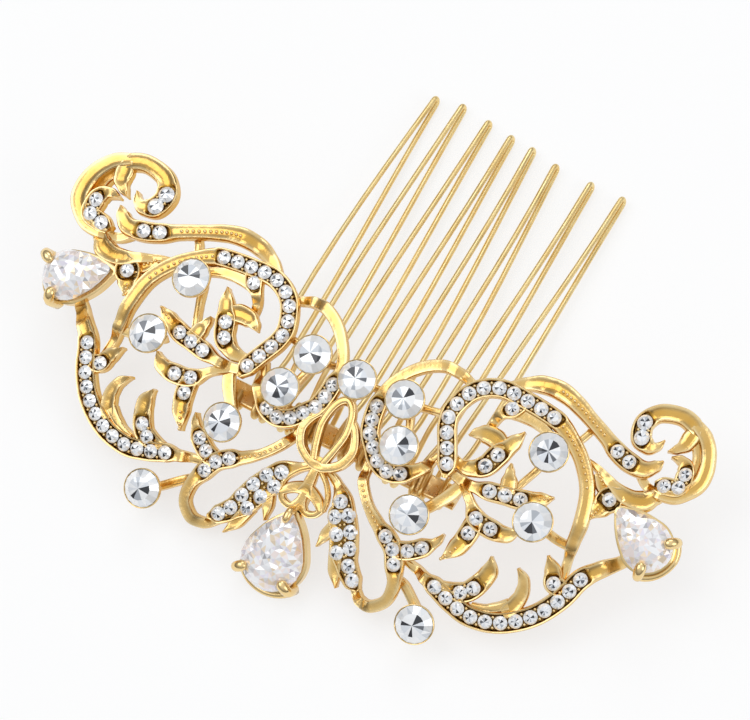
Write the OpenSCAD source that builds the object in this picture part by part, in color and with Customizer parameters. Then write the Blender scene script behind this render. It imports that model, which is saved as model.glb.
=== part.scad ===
/* [Ornament] */
// Width of the ornament, from end scroll to end scroll
ornament_w = 97; // [88:1:110]
// Height of the ornament, from the lowest claw to the top of the end scrolls
ornament_h = 46; // [42:1:52]
// How far the two ends fall behind the middle
arch_rise = 5.5; // [3:0.5:8]
// How far the top and bottom edges fall behind the middle
dome_rise = 2.5; // [0:0.5:4]
// Thickness of a band
band_t = 1.6; // [1.3:0.1:2]
// Width of the raised rim on each side of a stone channel
rim_w = 0.35; // [0.25:0.05:0.45]
// Depth of a stone channel
channel_d = 0.7; // [0.5:0.05:0.9]
// How far the side of a rim slopes in, as a share of its width
rim_slope = 0.4; // [0.2:0.1:0.6]
// How much thinner each further branch of a casting is, on each face
branch_step = 0.03; // [0.02:0.01:0.05]
// How much each side of a stone channel narrows at its ends
end_taper = 0.25; // [0.2:0.01:0.27]
// Solder film between two pieces that lie on each other
solder = 0.05; // [0.03:0.01:0.1]

/* [Small stones] */
// Diameter of a small stone
small_d = 1.84; // [1.6:0.02:1.96]
// Height of a small stone
small_h = 0.95; // [0.7:0.05:1.2]
// Space between two stones of a row
small_gap = 0.1; // [0.06:0.02:0.3]
// Space round a stone in its setting
stone_fit = 0.08; // [0.05:0.01:0.12]
// Glue film under a stone
glue = 0.06; // [0.04:0.01:0.1]

/* [Raised stones] */
// Diameter of a raised round stone
round_d = 4.7; // [4.2:0.1:5]
// Height of the front of a round stone above its widest line
round_crown = 0.9; // [0.6:0.1:1.4]
// Depth of the pointed back of a round stone
round_back = 1.3; // [0.9:0.1:1.5]
// Thickness of a round stone's edge
round_edge = 0.2; // [0.1:0.05:0.3]
// Wall of a cup
cup_wall = 0.3; // [0.2:0.05:0.4]
// Height of a cup
cup_h = 2.2; // [2:0.1:2.8]
// Height of the upright part of a cup's wall
cup_band = 0.5; // [0.4:0.05:0.7]
// Depth of a round stone's seat below the edge of its cup
cup_seat = 0.3; // [0.2:0.05:0.35]
// Height of a cup's base above the bands
cup_lift = 0.35; // [0.2:0.05:1]
// Diameter of the post under a cup
post_d = 1.6; // [1.2:0.1:1.8]

/* [Pear stones] */
// Width of the centre pear stone
centre_pear_w = 8.6; // [7.6:0.1:9]
// Length of the centre pear stone
centre_pear_l = 11.2; // [10.4:0.1:11.6]
// Width of an end pear stone
end_pear_w = 6.8; // [6:0.1:7]
// Length of an end pear stone
end_pear_l = 9.6; // [9:0.1:10]
// Height of a pear stone's front above its widest line
pear_crown = 1.6; // [1:0.1:2.2]
// Depth of a pear stone's pointed back
pear_back = 2; // [1.4:0.1:2.2]
// Thickness of a pear stone's edge
pear_edge = 0.3; // [0.2:0.05:0.4]
// Radius of a pear stone's point
pear_tip_r = 0.7; // [0.5:0.05:0.9]
// Height of a pear stone's edge above the bands
pear_lift = 0.9; // [0.8:0.05:1.2]
// Width of the rail that a pear stone sits on
seat_w = 0.9; // [0.7:0.05:1.1]
// Distance of that rail inside the edge of the stone
seat_inset = 0.3; // [0.2:0.05:0.4]
// Thickness of a claw
claw_d = 1.1; // [0.8:0.1:1.3]
// How far a claw reaches over the edge of its stone
claw_grip = 0.35; // [0.2:0.05:0.5]
// Angle from the point of a pear stone to each of its two claws
claw_turn = 125; // [115:1:135]
// Distance of the guard rail outside the edge of the stone
guard_out = 0.6; // [0.5:0.05:0.8]

/* [Comb] */
// Number of tines
tines = 8; // [5:1:9]
// Distance from one tine to the next
tine_pitch = 4.05; // [3.9:0.05:4.4]
// Distance from one tine's tip to the next
tip_pitch = 4.4; // [4.2:0.05:4.8]
// Length of a tine from the middle of the base strip to its tip
tine_len = 52; // [40:1:60]
// Distance between the two legs of a tine at the base strip
leg_gap = 1.9; // [1.7:0.05:2]
// Distance between the two legs of a tine at its tip
tip_gap = 1.3; // [1.25:0.05:1.8]
// Diameter of the comb wire
wire_d = 0.75; // [0.6:0.05:0.8]
// Angle between the tines and the ornament
comb_angle = 27; // [22:1:36]
// Width of the base strip
strip_w = 3.4; // [2.8:0.1:4]
// Thickness of the base strip
strip_t = 0.8; // [0.6:0.1:1]
// Length of the base strip past the last tine on each side
strip_over = 2.4; // [2.2:0.1:3]
// Distance of the winding behind the bands
strip_clear = 0.3; // [0.2:0.1:1]
// Width of a lug that carries the base strip
lug_w = 1; // [0.8:0.1:1.2]
// Space between the winding and the base strip
wind_fit = 0.1; // [0.05:0.01:0.15]

/* [Hidden] */

// The half pattern is drawn on a grid of 46 squares across and 46 squares up, from the middle line
// outwards. Each point is [across, up, width, level]: width 1 just takes a row of small stones,
// level 0 is the face of the ornament and level 1 passes behind another band.
grid_squares = 46;
grid_u = ornament_w / 2 / grid_squares;
grid_v = ornament_h / grid_squares;
middle_v = -8 * grid_v;
stone_r = small_d / 2;
band_half = stone_r + stone_fit + rim_w;
step_down = band_t + solder;
span_steps = 2;

end_scroll_bands = [
    [[[37.2, 4.9, 0.5, 1], [38.6, 3.8, 0.5, 1], [40.7, 3.4, 0.6, 0], [43, 4.2, 0.75, 0],
      [44.5, 6.6, 0.95, 0], [44.5, 9.3, 1.2, 0], [43.2, 12, 1.3, 0], [40.8, 13.6, 1.2, 0],
      [38.2, 14, 1.1, 0], [35.8, 13.2, 1.1, 0], [34.65, 11.3, 1, 0], [35.2, 9.4, 1, 0],
      [36.8, 9, 0.6, 0], [38, 10.2, 0.15, 0]],
     10, 11],
    [[[39.6, 4, 0.6, 0.2], [40.75, 4.45, 1, 0], [42.6, 5, 1, 0], [42.6, 6.9, 1, 0],
      [41.9, 8.5, 0.6, 0], [40, 8.6, 0.15, 0]],
     1, 3],
    [[[42.3, 12.6, 0.7, 0], [41.3, 11.2, 0.6, 0], [39.4, 9.9, 0.15, 0]], -1, -1]
];
top_sweep_bands = [
    [[[38.7, 7.9, 0.2, 0], [38.5, 6.3, 0.7, 0], [37, 5.4, 0.9, 0], [35.2, 5.7, 1.05, 0],
      [33.2, 6.4, 1, 0], [31, 7.6, 0.75, 0], [28.3, 8.9, 0.65, 0], [25.6, 10.1, 0.65, 0],
      [23.2, 10.7, 0.7, 0.1], [20.8, 10.6, 0.7, 0.6], [18.6, 9.7, 0.6, 1], [16.8, 8.2, 0.5, 1]],
     3, 4],
    [[[29, 8.4, 0.5, 0.2], [28.6, 7.2, 0.4, 1], [27.8, 5.4, 0.4, 1]], -1, -1]
];
corner_leaf_bands = [
    [[[41.9, 3.9, 0.45, 1], [41.2, 2.2, 0.5, 1], [39.4, 0.9, 0.65, 0.4], [36.8, 0.8, 0.6, 0],
      [34.2, 2, 0.4, 0], [32.3, 2.8, 0.3, 1], [30, 3.6, 0.3, 1]],
     -1, -1],
    [[[36, 1.4, 0.5, 0], [34.9, 0.1, 1.05, 0], [34.4, -1.6, 0.6, 0], [34.2, -2.9, 0.15, 0]], 1, 1]
];
s_scroll_bands = [
    [[[33.7, -12, 0.5, 1], [33.3, -9.4, 0.5, 1], [33, -7, 0.6, 0.3], [32.8, -4, 0.65, 0],
      [31.9, 0, 0.65, 0], [29.9, 3.1, 0.65, 0], [27.6, 5.2, 0.7, 0], [25.5, 6.5, 0.9, 0],
      [24, 7.05, 1, 0], [20.1, 7.5, 1, 0], [16.4, 7.5, 1, 0], [13.5, 5.7, 1, 0], [12.1, 2.4, 1, 0],
      [12.3, 0.2, 1, 0], [13.3, -2, 1, 0], [14.5, -4.6, 1, 0], [15, -6.4, 0.3, 0]],
     8, 15],
    [[[19.4, 7, 1, 0], [18.8, 5.75, 1, 0], [18.2, 3.6, 0.4, 1], [18, 2.2, 0.3, 1]], 1, 1],
    [[[33, -7.6, 0.5, 0.6], [30.6, -7.4, 0.5, 1], [27.6, -6.5, 0.5, 1], [27, -6.1, 0.4, 1]], -1, -1]
];
curled_leaf_bands = [
    [[[21.9, 3.6, 0.15, 0], [21.1, 1.6, 0.7, 0], [19.8, -0.6, 1, 0], [19, -2.6, 1, 0],
      [17.4, -3.7, 0.6, 0.2], [16, -3.8, 0.45, 1], [14.2, -3.1, 0.4, 1]],
     2, 3],
    [[[20.2, 1, 0.5, 0], [18.3, 2, 0.6, 0], [16.9, 1.6, 0.5, 0], [16, 0.7, 0.15, 0]], -1, -1]
];
sprays_bands = [
    [[[28.5, -2.5, 0.15, 0], [27, -3.5, 0.6, 0], [24.8, -4.6, 1, 0], [22.8, -5, 1, 0],
      [20.9, -5.4, 1, 0], [18.6, -5.8, 0.6, 0.2], [17, -5.8, 0.6, 1], [15, -5.3, 0.5, 1]],
     2, 4],
    [[[22.9, -4.6, 0.7, 0], [22.6, -3, 0.45, 0], [22.2, -1.3, 0.15, 0]], -1, -1],
    [[[26.4, -8.3, 0.15, 0], [25, -9.7, 0.6, 0], [23, -9.85, 1, 0], [20.8, -9.4, 1, 0],
      [19, -7.6, 0.5, 0.2], [17, -5.9, 0.5, 1]],
     2, 3],
    [[[20.8, -9.6, 1, 0], [20.7, -11.6, 1, 0], [20.2, -14, 0.6, 0], [18.9, -16.1, 0.15, 0]], 1, 1],
    [[[23.2, -4.4, 0.4, 0.3], [23.9, -2.6, 0.4, 0.8], [24.8, -0.2, 0.4, 1], [25.6, 2.5, 0.5, 1],
      [26, 3, 0.4, 1]],
     -1, -1],
    [[[17.2, -5.8, 0.6, 1], [16.4, -8, 0.7, 1], [14.9, -10.4, 0.6, 1], [13.4, -12.6, 0.5, 1],
      [13.2, -13.1, 0.4, 1]],
     -1, -1]
];
crescent_bands = [
    [[[13.2, -3, 0.4, 1], [12.5, -4.8, 0.45, 1], [11.9, -6.6, 0.7, 0], [9.7, -8.5, 1, 0],
      [7.9, -9, 1, 0], [6.2, -8.2, 1, 0], [5, -6.8, 1, 0], [3.9, -5.4, 1, 0], [3.4, -3.6, 1, 0],
      [3.2, -1.8, 1, 0], [3.2, 0.6, 0.6, 0], [4.3, 3.2, 0.6, 0], [6.2, 5.5, 0.65, 0],
      [8.5, 6.9, 0.65, 0], [10.6, 7.1, 0.6, 0.6], [12.2, 6.7, 0.5, 1], [14, 5.8, 0.4, 1]],
     3, 9],
    [[[12.2, 1.6, 0.4, 1], [9.5, 1, 0.4, 1], [6.6, 0.5, 0.5, 1], [5.2, 0.5, 0.4, 1],
      [3.4, 0.7, 0.4, 0.5]],
     -1, -1],
    [[[6.6, 0.5, 0.5, 1], [7.8, -2.4, 0.4, 1], [8.5, -5.2, 0.5, 1], [8.8, -6.5, 0.45, 1],
      [9.2, -8, 0.4, 0.5]],
     -1, -1]
];
ribbon_bands = [
    [[[5.2, -8.2, 0.4, 1], [5.2, -10, 0.5, 1], [5.8, -11.8, 0.55, 0.1], [7.6, -14.1, 0.55, 0],
      [9.7, -15.8, 0.7, 0], [11.4, -16.8, 1, 0], [12.9, -18, 1, 0], [13.8, -19.7, 1, 0],
      [14.8, -22.2, 0.7, 0], [14.7, -24.6, 0.65, 0], [13.2, -26.2, 0.65, 0], [11.6, -26.4, 0.6, 0.5],
      [10.4, -25.6, 0.5, 1], [9.4, -24.2, 0.4, 1]],
     5, 7],
    [[[13, -18, 1, 0], [14.7, -17.3, 1, 0], [16.2, -16.1, 1, 0], [17.5, -14.6, 0.5, 0],
      [18, -13.2, 0.15, 0]],
     1, 2],
    [[[14.7, -21.4, 0.5, 0.3], [16.2, -22.2, 0.5, 1], [19.6, -25.1, 0.5, 1], [20.3, -25.4, 0.4, 1]],
     -1, -1]
];
petal_bands = [
    [[[0.7, -12.6, 0.4, 1], [2.4, -13.5, 0.5, 1], [4.6, -15.2, 1.5, 0], [5.2, -17, 1.75, 0],
      [6.3, -18.9, 1.75, 0], [7.2, -21, 1.8, 0], [8.4, -22.8, 1.3, 0], [9.8, -24.2, 1.1, 0],
      [11, -25, 0.3, 0]],
     2, 7],
    [[[4.8, -18.6, 0.6, 0], [4.2, -20.4, 0.4, 0], [3.9, -22.3, 0.2, 0]], -1, -1],
    [[[6.3, -21.4, 0.7, 0], [7.3, -24, 0.5, 0], [8.2, -25.8, 0.2, 0]], -1, -1]
];
leaf_band_bands = [
    [[[40.4, -5.3, 0.5, 1], [39.3, -6.9, 0.6, 1], [37.4, -8.8, 0.8, 0.2], [35.8, -10.9, 1, 0],
      [34.6, -14.3, 1, 0], [32.3, -17.9, 1, 0], [28.8, -20.6, 1, 0], [25.2, -21.5, 1, 0],
      [22.2, -20.9, 1, 0], [19.7, -20, 1, 0], [18, -19.6, 0.6, 0.1], [16.4, -19.2, 0.5, 1],
      [14.4, -18.8, 0.4, 1]],
     3, 9],
    [[[34.6, -12.9, 0.9, 0], [32.7, -11.1, 0.6, 0], [30.9, -9.9, 0.15, 0]], -1, -1],
    [[[28.6, -12.7, 0.15, 0], [29.8, -14.4, 0.7, 0], [29.9, -16.4, 0.8, 0], [28.8, -18.3, 0.7, 0],
      [26.4, -19.9, 0.4, 0]],
     -1, -1],
    [[[24.6, -13, 0.15, 0], [25.2, -15.2, 0.7, 0], [24.2, -17.9, 1, 0], [22.9, -19.2, 1, 0],
      [20.4, -19.4, 0.5, 0]],
     2, 3]
];
bow_bands = [
    [[[-1.3, -5.2, 0.3, 0.2], [-2.4, -6.5, 0.33, 0.1], [-3.3, -9, 0.33, 0], [-2.4, -11.6, 0.33, 0],
      [0, -12.7, 0.4, 0], [2.4, -11.6, 0.33, 0], [3.3, -9, 0.33, 0], [2.4, -6.5, 0.33, 0.1],
      [1.3, -5.2, 0.3, 0.2]],
     -1, -1],
    [[[-3.1, 0.6, 0.3, 1], [-1.8, 0.3, 0.4, 1], [0, 0.1, 0.4, 1], [1.8, 0.3, 0.4, 1],
      [3.1, 0.6, 0.3, 1]],
     -1, -1],
    [[[0, -15.4, 0.4, 0.3], [0, -17, 0.4, 1], [0, -19, 0.4, 1], [0, -21.4, 0.4, 1]], -1, -1],
    [[[-0.7, -11.8, 0.35, 0], [-1.3, -9.6, 0.33, 0], [-1.7, -6.8, 0.33, 0], [-1.2, -4, 0.33, 0],
      [0, -2.8, 0.33, 0], [1.2, -4, 0.33, 0], [1.7, -6.8, 0.33, 0], [1.3, -9.6, 0.33, 0],
      [0.7, -11.8, 0.35, 0]],
     -1, -1],
    [[[0, -11.2, 0.75, 0], [0, -13.2, 0.5, 0], [0, -15.8, 0.8, 0]], -1, -1],
    [[[-2.4, -17.2, 0.3, 0], [-1.7, -16.1, 0.35, 0], [0, -15.5, 0.35, 0], [1.7, -16.1, 0.35, 0],
      [2.4, -17.2, 0.3, 0]],
     -1, -1],
    [[[-2.7, -16.9, 0.25, 0], [0, -17.2, 0.25, 0], [2.7, -16.9, 0.25, 0]], -1, -1],
    [[[0, -3.6, 0.4, 0.3], [0, -1.6, 0.4, 1], [0, 0.7, 0.6, 1]], -1, -1]
];

// Grid places of the raised cups, each with the number of the branch that carries it, and of the pear
// stones with the turn of their points
sprays_trunk = [16.4, -8];
cup_places = [
    [25.6, 2.5, 4], [27.6, -6.5, 2], [6.6, 0.5, 1], [8.5, -5.2, 2], [13.4, -12.6, 5], [19.6, -25.1, 2]
];
centre_cup_place = [0, 0.1, 1];
end_pear_place = [41.5, -3.6];
end_pear_turn = 61;
centre_pear_place = [0, -26];

// The face of the ornament: a shallow dome that falls away from the middle
function unit(p) = p / norm(p);
function fall(u, v) =
    -arch_rise * pow(u / (ornament_w / 2), 2) - dome_rise * pow((v - middle_v) / (ornament_h / 2), 2);
function face_normal(u, v) = unit([
    2 * arch_rise * u / pow(ornament_w / 2, 2),
    2 * dome_rise * (v - middle_v) / pow(ornament_h / 2, 2),
    1
]);
function on_grid(p) = [p.x * grid_u, p.y * grid_v];
function face_frame(place, turn) =
    let (n = face_normal(place.x, place.y))
    let (across = unit([n.z, 0, -n.x]))
    let (up = cross(n, across))
    [[place.x, place.y, fall(place.x, place.y)],
     across * cos(turn) + up * sin(turn), up * cos(turn) - across * sin(turn), n];
function from_frame(frame, p) = frame[0] + p.x * frame[1] + p.y * frame[2] + p.z * frame[3];

// A smooth run through the points of a band, in millimetres: [u, v, half width, height of the top]
function in_mm(p) = [p.x * grid_u, p.y * grid_v, p[2] * band_half, -p[3] * step_down];
function curve(a, b, c, d, t) =
    0.5 * (2 * b + (c - a) * t + (2 * a - 5 * b + 4 * c - d) * t * t + (3 * b - a - 3 * c + d) * t * t * t);
function ease(t) = t * t * (3 - 2 * t);
function run_point(p, i, t) =
    let (last = len(p) - 1)
    let (q = curve(p[max(i - 1, 0)], p[i], p[min(i + 1, last)], p[min(i + 2, last)], t))
    let (r = p[i] + (p[min(i + 1, last)] - p[i]) * ease(t))
    [q[0], q[1], r[2], r[3]];
function run(path, first, last) =
    let (p = [for (q = path) in_mm(q)])
    [for (i = [first * span_steps:last * span_steps])
        run_point(p, floor(i / span_steps), i / span_steps - floor(i / span_steps))];
function whole_run(path) = run(path, 0, len(path) - 1);
function heading(r, i) =
    let (d = r[min(i + 1, len(r) - 1)] - r[max(i - 1, 0)])
    unit([d.x, d.y]);
// A run of one point heads the way its band does there
function row_heading(path, first, i) = heading(whole_run(path), first * span_steps + i);

// A solid skin over a row of rings that all have the same number of points
module skin(rings) {
    count = len(rings[0]);
    last = len(rings) - 1;
    polyhedron(
        [for (r = rings) for (p = r) p],
        concat(
            [for (k = [1:count - 2]) [0, k, k + 1]],
            [for (k = [1:count - 2]) [last * count, last * count + k + 1, last * count + k]],
            [for (i = [0:last - 1]) for (k = [0:count - 1])
                [i * count + k, (i + 1) * count + k, i * count + (k + 1) % count]],
            [for (i = [0:last - 1]) for (k = [0:count - 1])
                [i * count + (k + 1) % count, (i + 1) * count + k, (i + 1) * count + (k + 1) % count]]
        )
    );
}

// A cross section of a run, placed square to it
function section(r, dir, outline) =
    let (frame = face_frame([r.x, r.y], 0))
    let (side = unit(cross(frame[3], [dir.x, dir.y, 0])))
    [for (q = outline) frame[0] + q.x * side + (q.y + r[3]) * frame[3]];
// A side branch is thinner than the band that it grows from, by this much on each face
function thinner(branch) = branch * branch_step;
function band_outline(half, cut) =
    let (top = half - min(rim_w, half) * rim_slope)
    [[-half, cut - band_t], [half, cut - band_t], [top, -cut], [-top, -cut]];
function channel_outline(half, cut) =
    [[-half, -channel_d - cut], [half, -channel_d - cut], [half, band_t], [-half, band_t]];
module solid_run(path, cut) {
    r = whole_run(path);
    skin([for (i = [0:len(r) - 1]) section(r[i], heading(r, i), band_outline(r[i][2], cut))]);
}
// The channel for a row of stones, longer than the row by a stone's own radius at each end, where it
// narrows. Its sections stand a little further along than the band's own.
row_shift = 0.15;
module channel_run(path, first, last, cut) {
    r = run(path, first, last);
    end = len(r) - 1;
    ways = [for (i = [0:end]) row_heading(path, first, i)];
    head = (stone_r + stone_fit) * ways[0];
    tail = (stone_r + stone_fit) * ways[end];
    places = concat(
        [r[0] - [head.x, head.y, end_taper, 0]],
        [for (i = [0:end]) r[i] + row_shift * [ways[i].x, ways[i].y, 0, 0]],
        [r[end] + [tail.x, tail.y, -end_taper, 0]]
    );
    turns = concat([ways[0]], ways, [ways[end]]);
    skin([for (i = [0:len(places) - 1])
        section(places[i], turns[i], channel_outline(places[i][2] - rim_w, cut))]);
}
// One cast body of several bands, at the size that they are drawn
module casting(bands) {
    resize([0, 0, 0]) difference() {
        union() for (k = [0:len(bands) - 1]) solid_run(bands[k][0], thinner(k));
        for (k = [0:len(bands) - 1])
            if (bands[k][1] >= 0) channel_run(bands[k][0], bands[k][1], bands[k][2], thinner(k));
    }
}

// Places of the stones of a row, at an even pitch along its run
function reach_at(r) = [
    for (i = 0, s = 0; i < len(r); i = i + 1, s = s + (i < len(r) ? norm(r[i] - r[i - 1]) : 0)) s
];
function walk(r, reach, s, i = 0) =
    i >= len(r) - 2 || reach[i + 1] >= s
        ? r[i] + (r[i + 1] - r[i]) * (s - reach[i]) / (reach[i + 1] - reach[i])
        : walk(r, reach, s, i + 1);
function even_places(row) =
    let (r = [for (p = row) [p.x, p.y]])
    let (reach = reach_at(r))
    let (whole = reach[len(r) - 1])
    let (count = floor(whole / (small_d + small_gap) + 0.2))
    count == 0 ? [r[0]] : [for (k = [0:count]) walk(r, reach, whole * k / count)];
// Turns the way that the pieces of the ornament are drawn so that the comb stands on its tine tips
// and on the claw basket of its centre stone
module stand() {
    translate([0, -rest_y, -rest_z]) rotate([rest_tilt, 0, 0]) children();
}
module right_side() stand() children();
module left_side() stand() mirror([1, 0, 0]) children();
module at(frame) {
    multmatrix([
        [frame[1].x, frame[2].x, frame[3].x, frame[0].x],
        [frame[1].y, frame[2].y, frame[3].y, frame[0].y],
        [frame[1].z, frame[2].z, frame[3].z, frame[0].z],
        [0, 0, 0, 1]
    ]) children();
}

module gold() color([0.84, 0.7, 0.42]) children();
module crystal() color([0.9, 0.93, 0.96]) children();

module end_scroll() gold() casting(end_scroll_bands);
module top_sweep() gold() casting(top_sweep_bands);
module corner_leaf() gold() casting(corner_leaf_bands);
module s_scroll() gold() casting(s_scroll_bands);
module curled_leaf() gold() casting(curled_leaf_bands);
module crescent() gold() casting(crescent_bands);
module ribbon() gold() casting(ribbon_bands);
module petal() gold() casting(petal_bands);
module leaf_band() gold() casting(leaf_band_bands);
module sprays() gold() {
    resize([0, 0, 0]) {
        casting(sprays_bands);
        lug();
    }
}
module bow() gold() casting(bow_bands);

// A small stone: flat back, widest line and a cut front
table_share = 0.55;
back_share = 0.8;
edge_low = 0.4 * small_h;
edge_high = 0.55 * small_h;
module small_stone() {
    rotate_extrude($fn = 32)
        polygon([
            [0, 0], [back_share * stone_r, 0], [stone_r, edge_low], [stone_r, edge_high],
            [table_share * stone_r, small_h], [0, small_h]
        ]);
}
module stone_row(places, cut) {
    for (p = places) at(face_frame(p, 0)) translate([0, 0, glue - channel_d - cut]) small_stone();
}
module band_stones(bands) crystal() {
    for (k = [0:len(bands) - 1])
        if (bands[k][1] >= 0)
            stone_row(even_places(run(bands[k][0], bands[k][1], bands[k][2])), thinner(k));
}
// The petal holds two rows side by side, which run together where it narrows
petal_stone_places = [
    [4.3, -15.3], [4.4, -17.5], [5.5, -19.5], [6.5, -21.7],
    [6, -16.5], [7.1, -18.4], [7.9, -20.4], [8.6, -22.6], [9.8, -24.1]
];
module petal_stones() crystal() stone_row([for (p = petal_stone_places) on_grid(p)], 0);

// A raised cup on its post, and the pointed stone that it holds
round_r = round_d / 2;
cup_r = round_r + stone_fit + cup_wall;
cup_top = cup_lift + cup_h;
cup_foot = 0.6 * cup_r;
module cup(branch) {
    foot = -band_t - thinner(branch);
    rotate_extrude($fn = 48)
        polygon([
            [0, foot], [post_d / 2, foot], [post_d / 2, cup_lift], [cup_foot, cup_lift],
            [cup_r, cup_top - cup_band], [cup_r, cup_top], [round_r + stone_fit, cup_top],
            [round_r + stone_fit, cup_top - cup_seat], [0, cup_top - cup_seat - round_back]
        ]);
}
module round_stone() {
    translate([0, 0, cup_top - cup_seat + glue])
        rotate_extrude($fn = 48)
            polygon([
                [0, -round_back], [round_r, 0], [round_r, round_edge],
                [table_share * round_r, round_edge + round_crown], [0, round_edge + round_crown]
            ]);
}
module cups() gold() for (p = cup_places) at(face_frame(on_grid(p), 0)) cup(p[2]);
module round_stones() crystal() for (p = cup_places) at(face_frame(on_grid(p), 0)) round_stone();
module centre_cup() gold() at(face_frame(on_grid(centre_cup_place), 0)) cup(centre_cup_place[2]);
module centre_round_stone() crystal() at(face_frame(on_grid(centre_cup_place), 0)) round_stone();

// A pear outline with its round end at the origin and its point towards +Y
claw_r = claw_d / 2;
guard_links = 6;
tip_steps = 2;
round_steps = 15;
function pear_reach(w, l) = l - w / 2 - pear_tip_r;
function pear_lean(w, l) = acos((w / 2 - pear_tip_r) / pear_reach(w, l));
function pear_outline(w, l, grow) =
    let (lean = pear_lean(w, l))
    concat(
        [for (k = [-tip_steps:tip_steps])
            let (a = lean * k / tip_steps)
            [0, pear_reach(w, l)] + (pear_tip_r + grow) * [-sin(a), cos(a)]],
        [for (k = [0:round_steps])
            let (a = lean + (360 - 2 * lean) * k / round_steps)
            (w / 2 + grow) * [-sin(a), cos(a)]]
    );
function pear_ring(w, l, share, height) =
    let (middle = [0, pear_reach(w, l) / 3])
    [for (p = pear_outline(w, l, 0)) let (q = middle + (p - middle) * share) [q.x, q.y, height]];
module pear_stone(w, l) {
    translate([0, 0, pear_lift]) skin([
        pear_ring(w, l, 0.06, -pear_back),
        pear_ring(w, l, 1, 0),
        pear_ring(w, l, 1, pear_edge),
        pear_ring(w, l, 0.6, pear_edge + pear_crown)
    ]);
}

// A claw basket: the rail under the stone, claws that hook over its edge, and a guard rail between
// the two claws of the round end
function seat_top(w) =
    pear_lift - glue - pear_back * (seat_inset + seat_w) / (w / 2 - (w / 2 - pear_tip_r) / 3);
module claw_link(a, b) {
    hull() {
        translate(a) sphere(claw_r, $fn = 6);
        translate(b) sphere(claw_r, $fn = 6);
    }
}
module claw(foot, out) {
    clear = claw_r + stone_fit;
    over = pear_lift + pear_edge + claw_d;
    low = foot - [out.x, out.y] * (seat_inset + claw_r);
    side = foot + [out.x, out.y] * clear;
    top = foot - [out.x, out.y] * claw_grip;
    claw_link([low.x, low.y, claw_r - band_t], [side.x, side.y, claw_r - band_t]);
    claw_link([side.x, side.y, claw_r - band_t], [side.x, side.y, over - claw_r]);
    claw_link([side.x, side.y, over - claw_r], [top.x, top.y, over + claw_grip]);
}
function guard_point(w, turn) =
    let (reach = w / 2 + guard_out)
    [reach * sin(turn), reach * cos(turn), claw_r - band_t];
module basket(w, l) {
    translate([0, 0, -band_t]) linear_extrude(seat_top(w) + band_t) difference() {
        polygon(pear_outline(w, l, -seat_inset));
        polygon(pear_outline(w - 2 * seat_inset - 2 * seat_w, l - 2 * seat_inset - 2 * seat_w, 0));
    }
    for (turn = [-claw_turn, claw_turn])
        claw(w / 2 * [sin(turn), cos(turn)], [sin(turn), cos(turn)]);
    for (k = [0:guard_links - 1])
        claw_link(
            guard_point(w, claw_turn + (360 - 2 * claw_turn) * k / guard_links),
            guard_point(w, claw_turn + (360 - 2 * claw_turn) * (k + 1) / guard_links)
        );
}
end_pear_frame = face_frame(on_grid(end_pear_place), end_pear_turn);
centre_pear_frame = face_frame(on_grid(centre_pear_place), 0);
module end_basket() gold() at(end_pear_frame) basket(end_pear_w, end_pear_l);
module end_pear_stone() crystal() at(end_pear_frame) pear_stone(end_pear_w, end_pear_l);
module centre_basket() gold() at(centre_pear_frame) {
    basket(centre_pear_w, centre_pear_l);
    claw([0, pear_reach(centre_pear_w, centre_pear_l) + pear_tip_r], [0, 1]);
}
module centre_pear_stone() crystal() at(centre_pear_frame) pear_stone(centre_pear_w, centre_pear_l);

// The comb lies in its own plane behind the ornament: x along the strip, y towards the tips
strip_v = -8.5 * grid_v;
strip_half = (tines - 1) / 2 * tine_pitch + leg_gap / 2 + strip_over;
wind_off = strip_t / 2 + wind_fit + wire_d / 2;
wind_half = strip_w / 2 - strip_t / 2;
strip_drop =
    step_down + band_t + strip_w / 2 * sin(comb_angle) + (wind_off + wire_d / 2) * cos(comb_angle);
strip_depth = fall(strip_half, strip_v) - strip_drop - strip_clear;
module in_comb() translate([0, strip_v, strip_depth]) rotate([-comb_angle, 0, 0]) children();
function from_comb(p) = [
    p.x,
    strip_v + p.y * cos(comb_angle) + p.z * sin(comb_angle),
    strip_depth - p.y * sin(comb_angle) + p.z * cos(comb_angle)
];
module comb_strip() gold() in_comb() rotate([90, 0, 90])
    linear_extrude(2 * strip_half, center = true) {
        square([2 * wind_half, strip_t], center = true);
        for (s = [-1, 1]) translate([s * wind_half, 0]) circle(strip_t / 2, $fn = 32);
    }

// A lug from the trunk of the sprays to each end of the strip
lug_y = -lug_w;
module lug() {
    frame = face_frame(on_grid(sprays_trunk), 0);
    hull() {
        in_comb()
            translate([strip_half - lug_w, lug_y, strip_t / 2 + solder])
                cube([lug_w, lug_w, lug_w / 2]);
        translate(from_frame(frame, [0, 0, -step_down - band_t / 2])) cube(lug_w, center = true);
    }
}

// The wire: a half turn on the strip, up and down each tine, and a winding between one tine and the next
arc_steps = 5;
leg_steps = 3;
wire_sides = 6;
ease_len = 7;
tip_y = tine_len - tip_gap / 2 - wire_d / 2;
function tine_x(i) = (i - (tines - 1) / 2) * tine_pitch;
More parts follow.
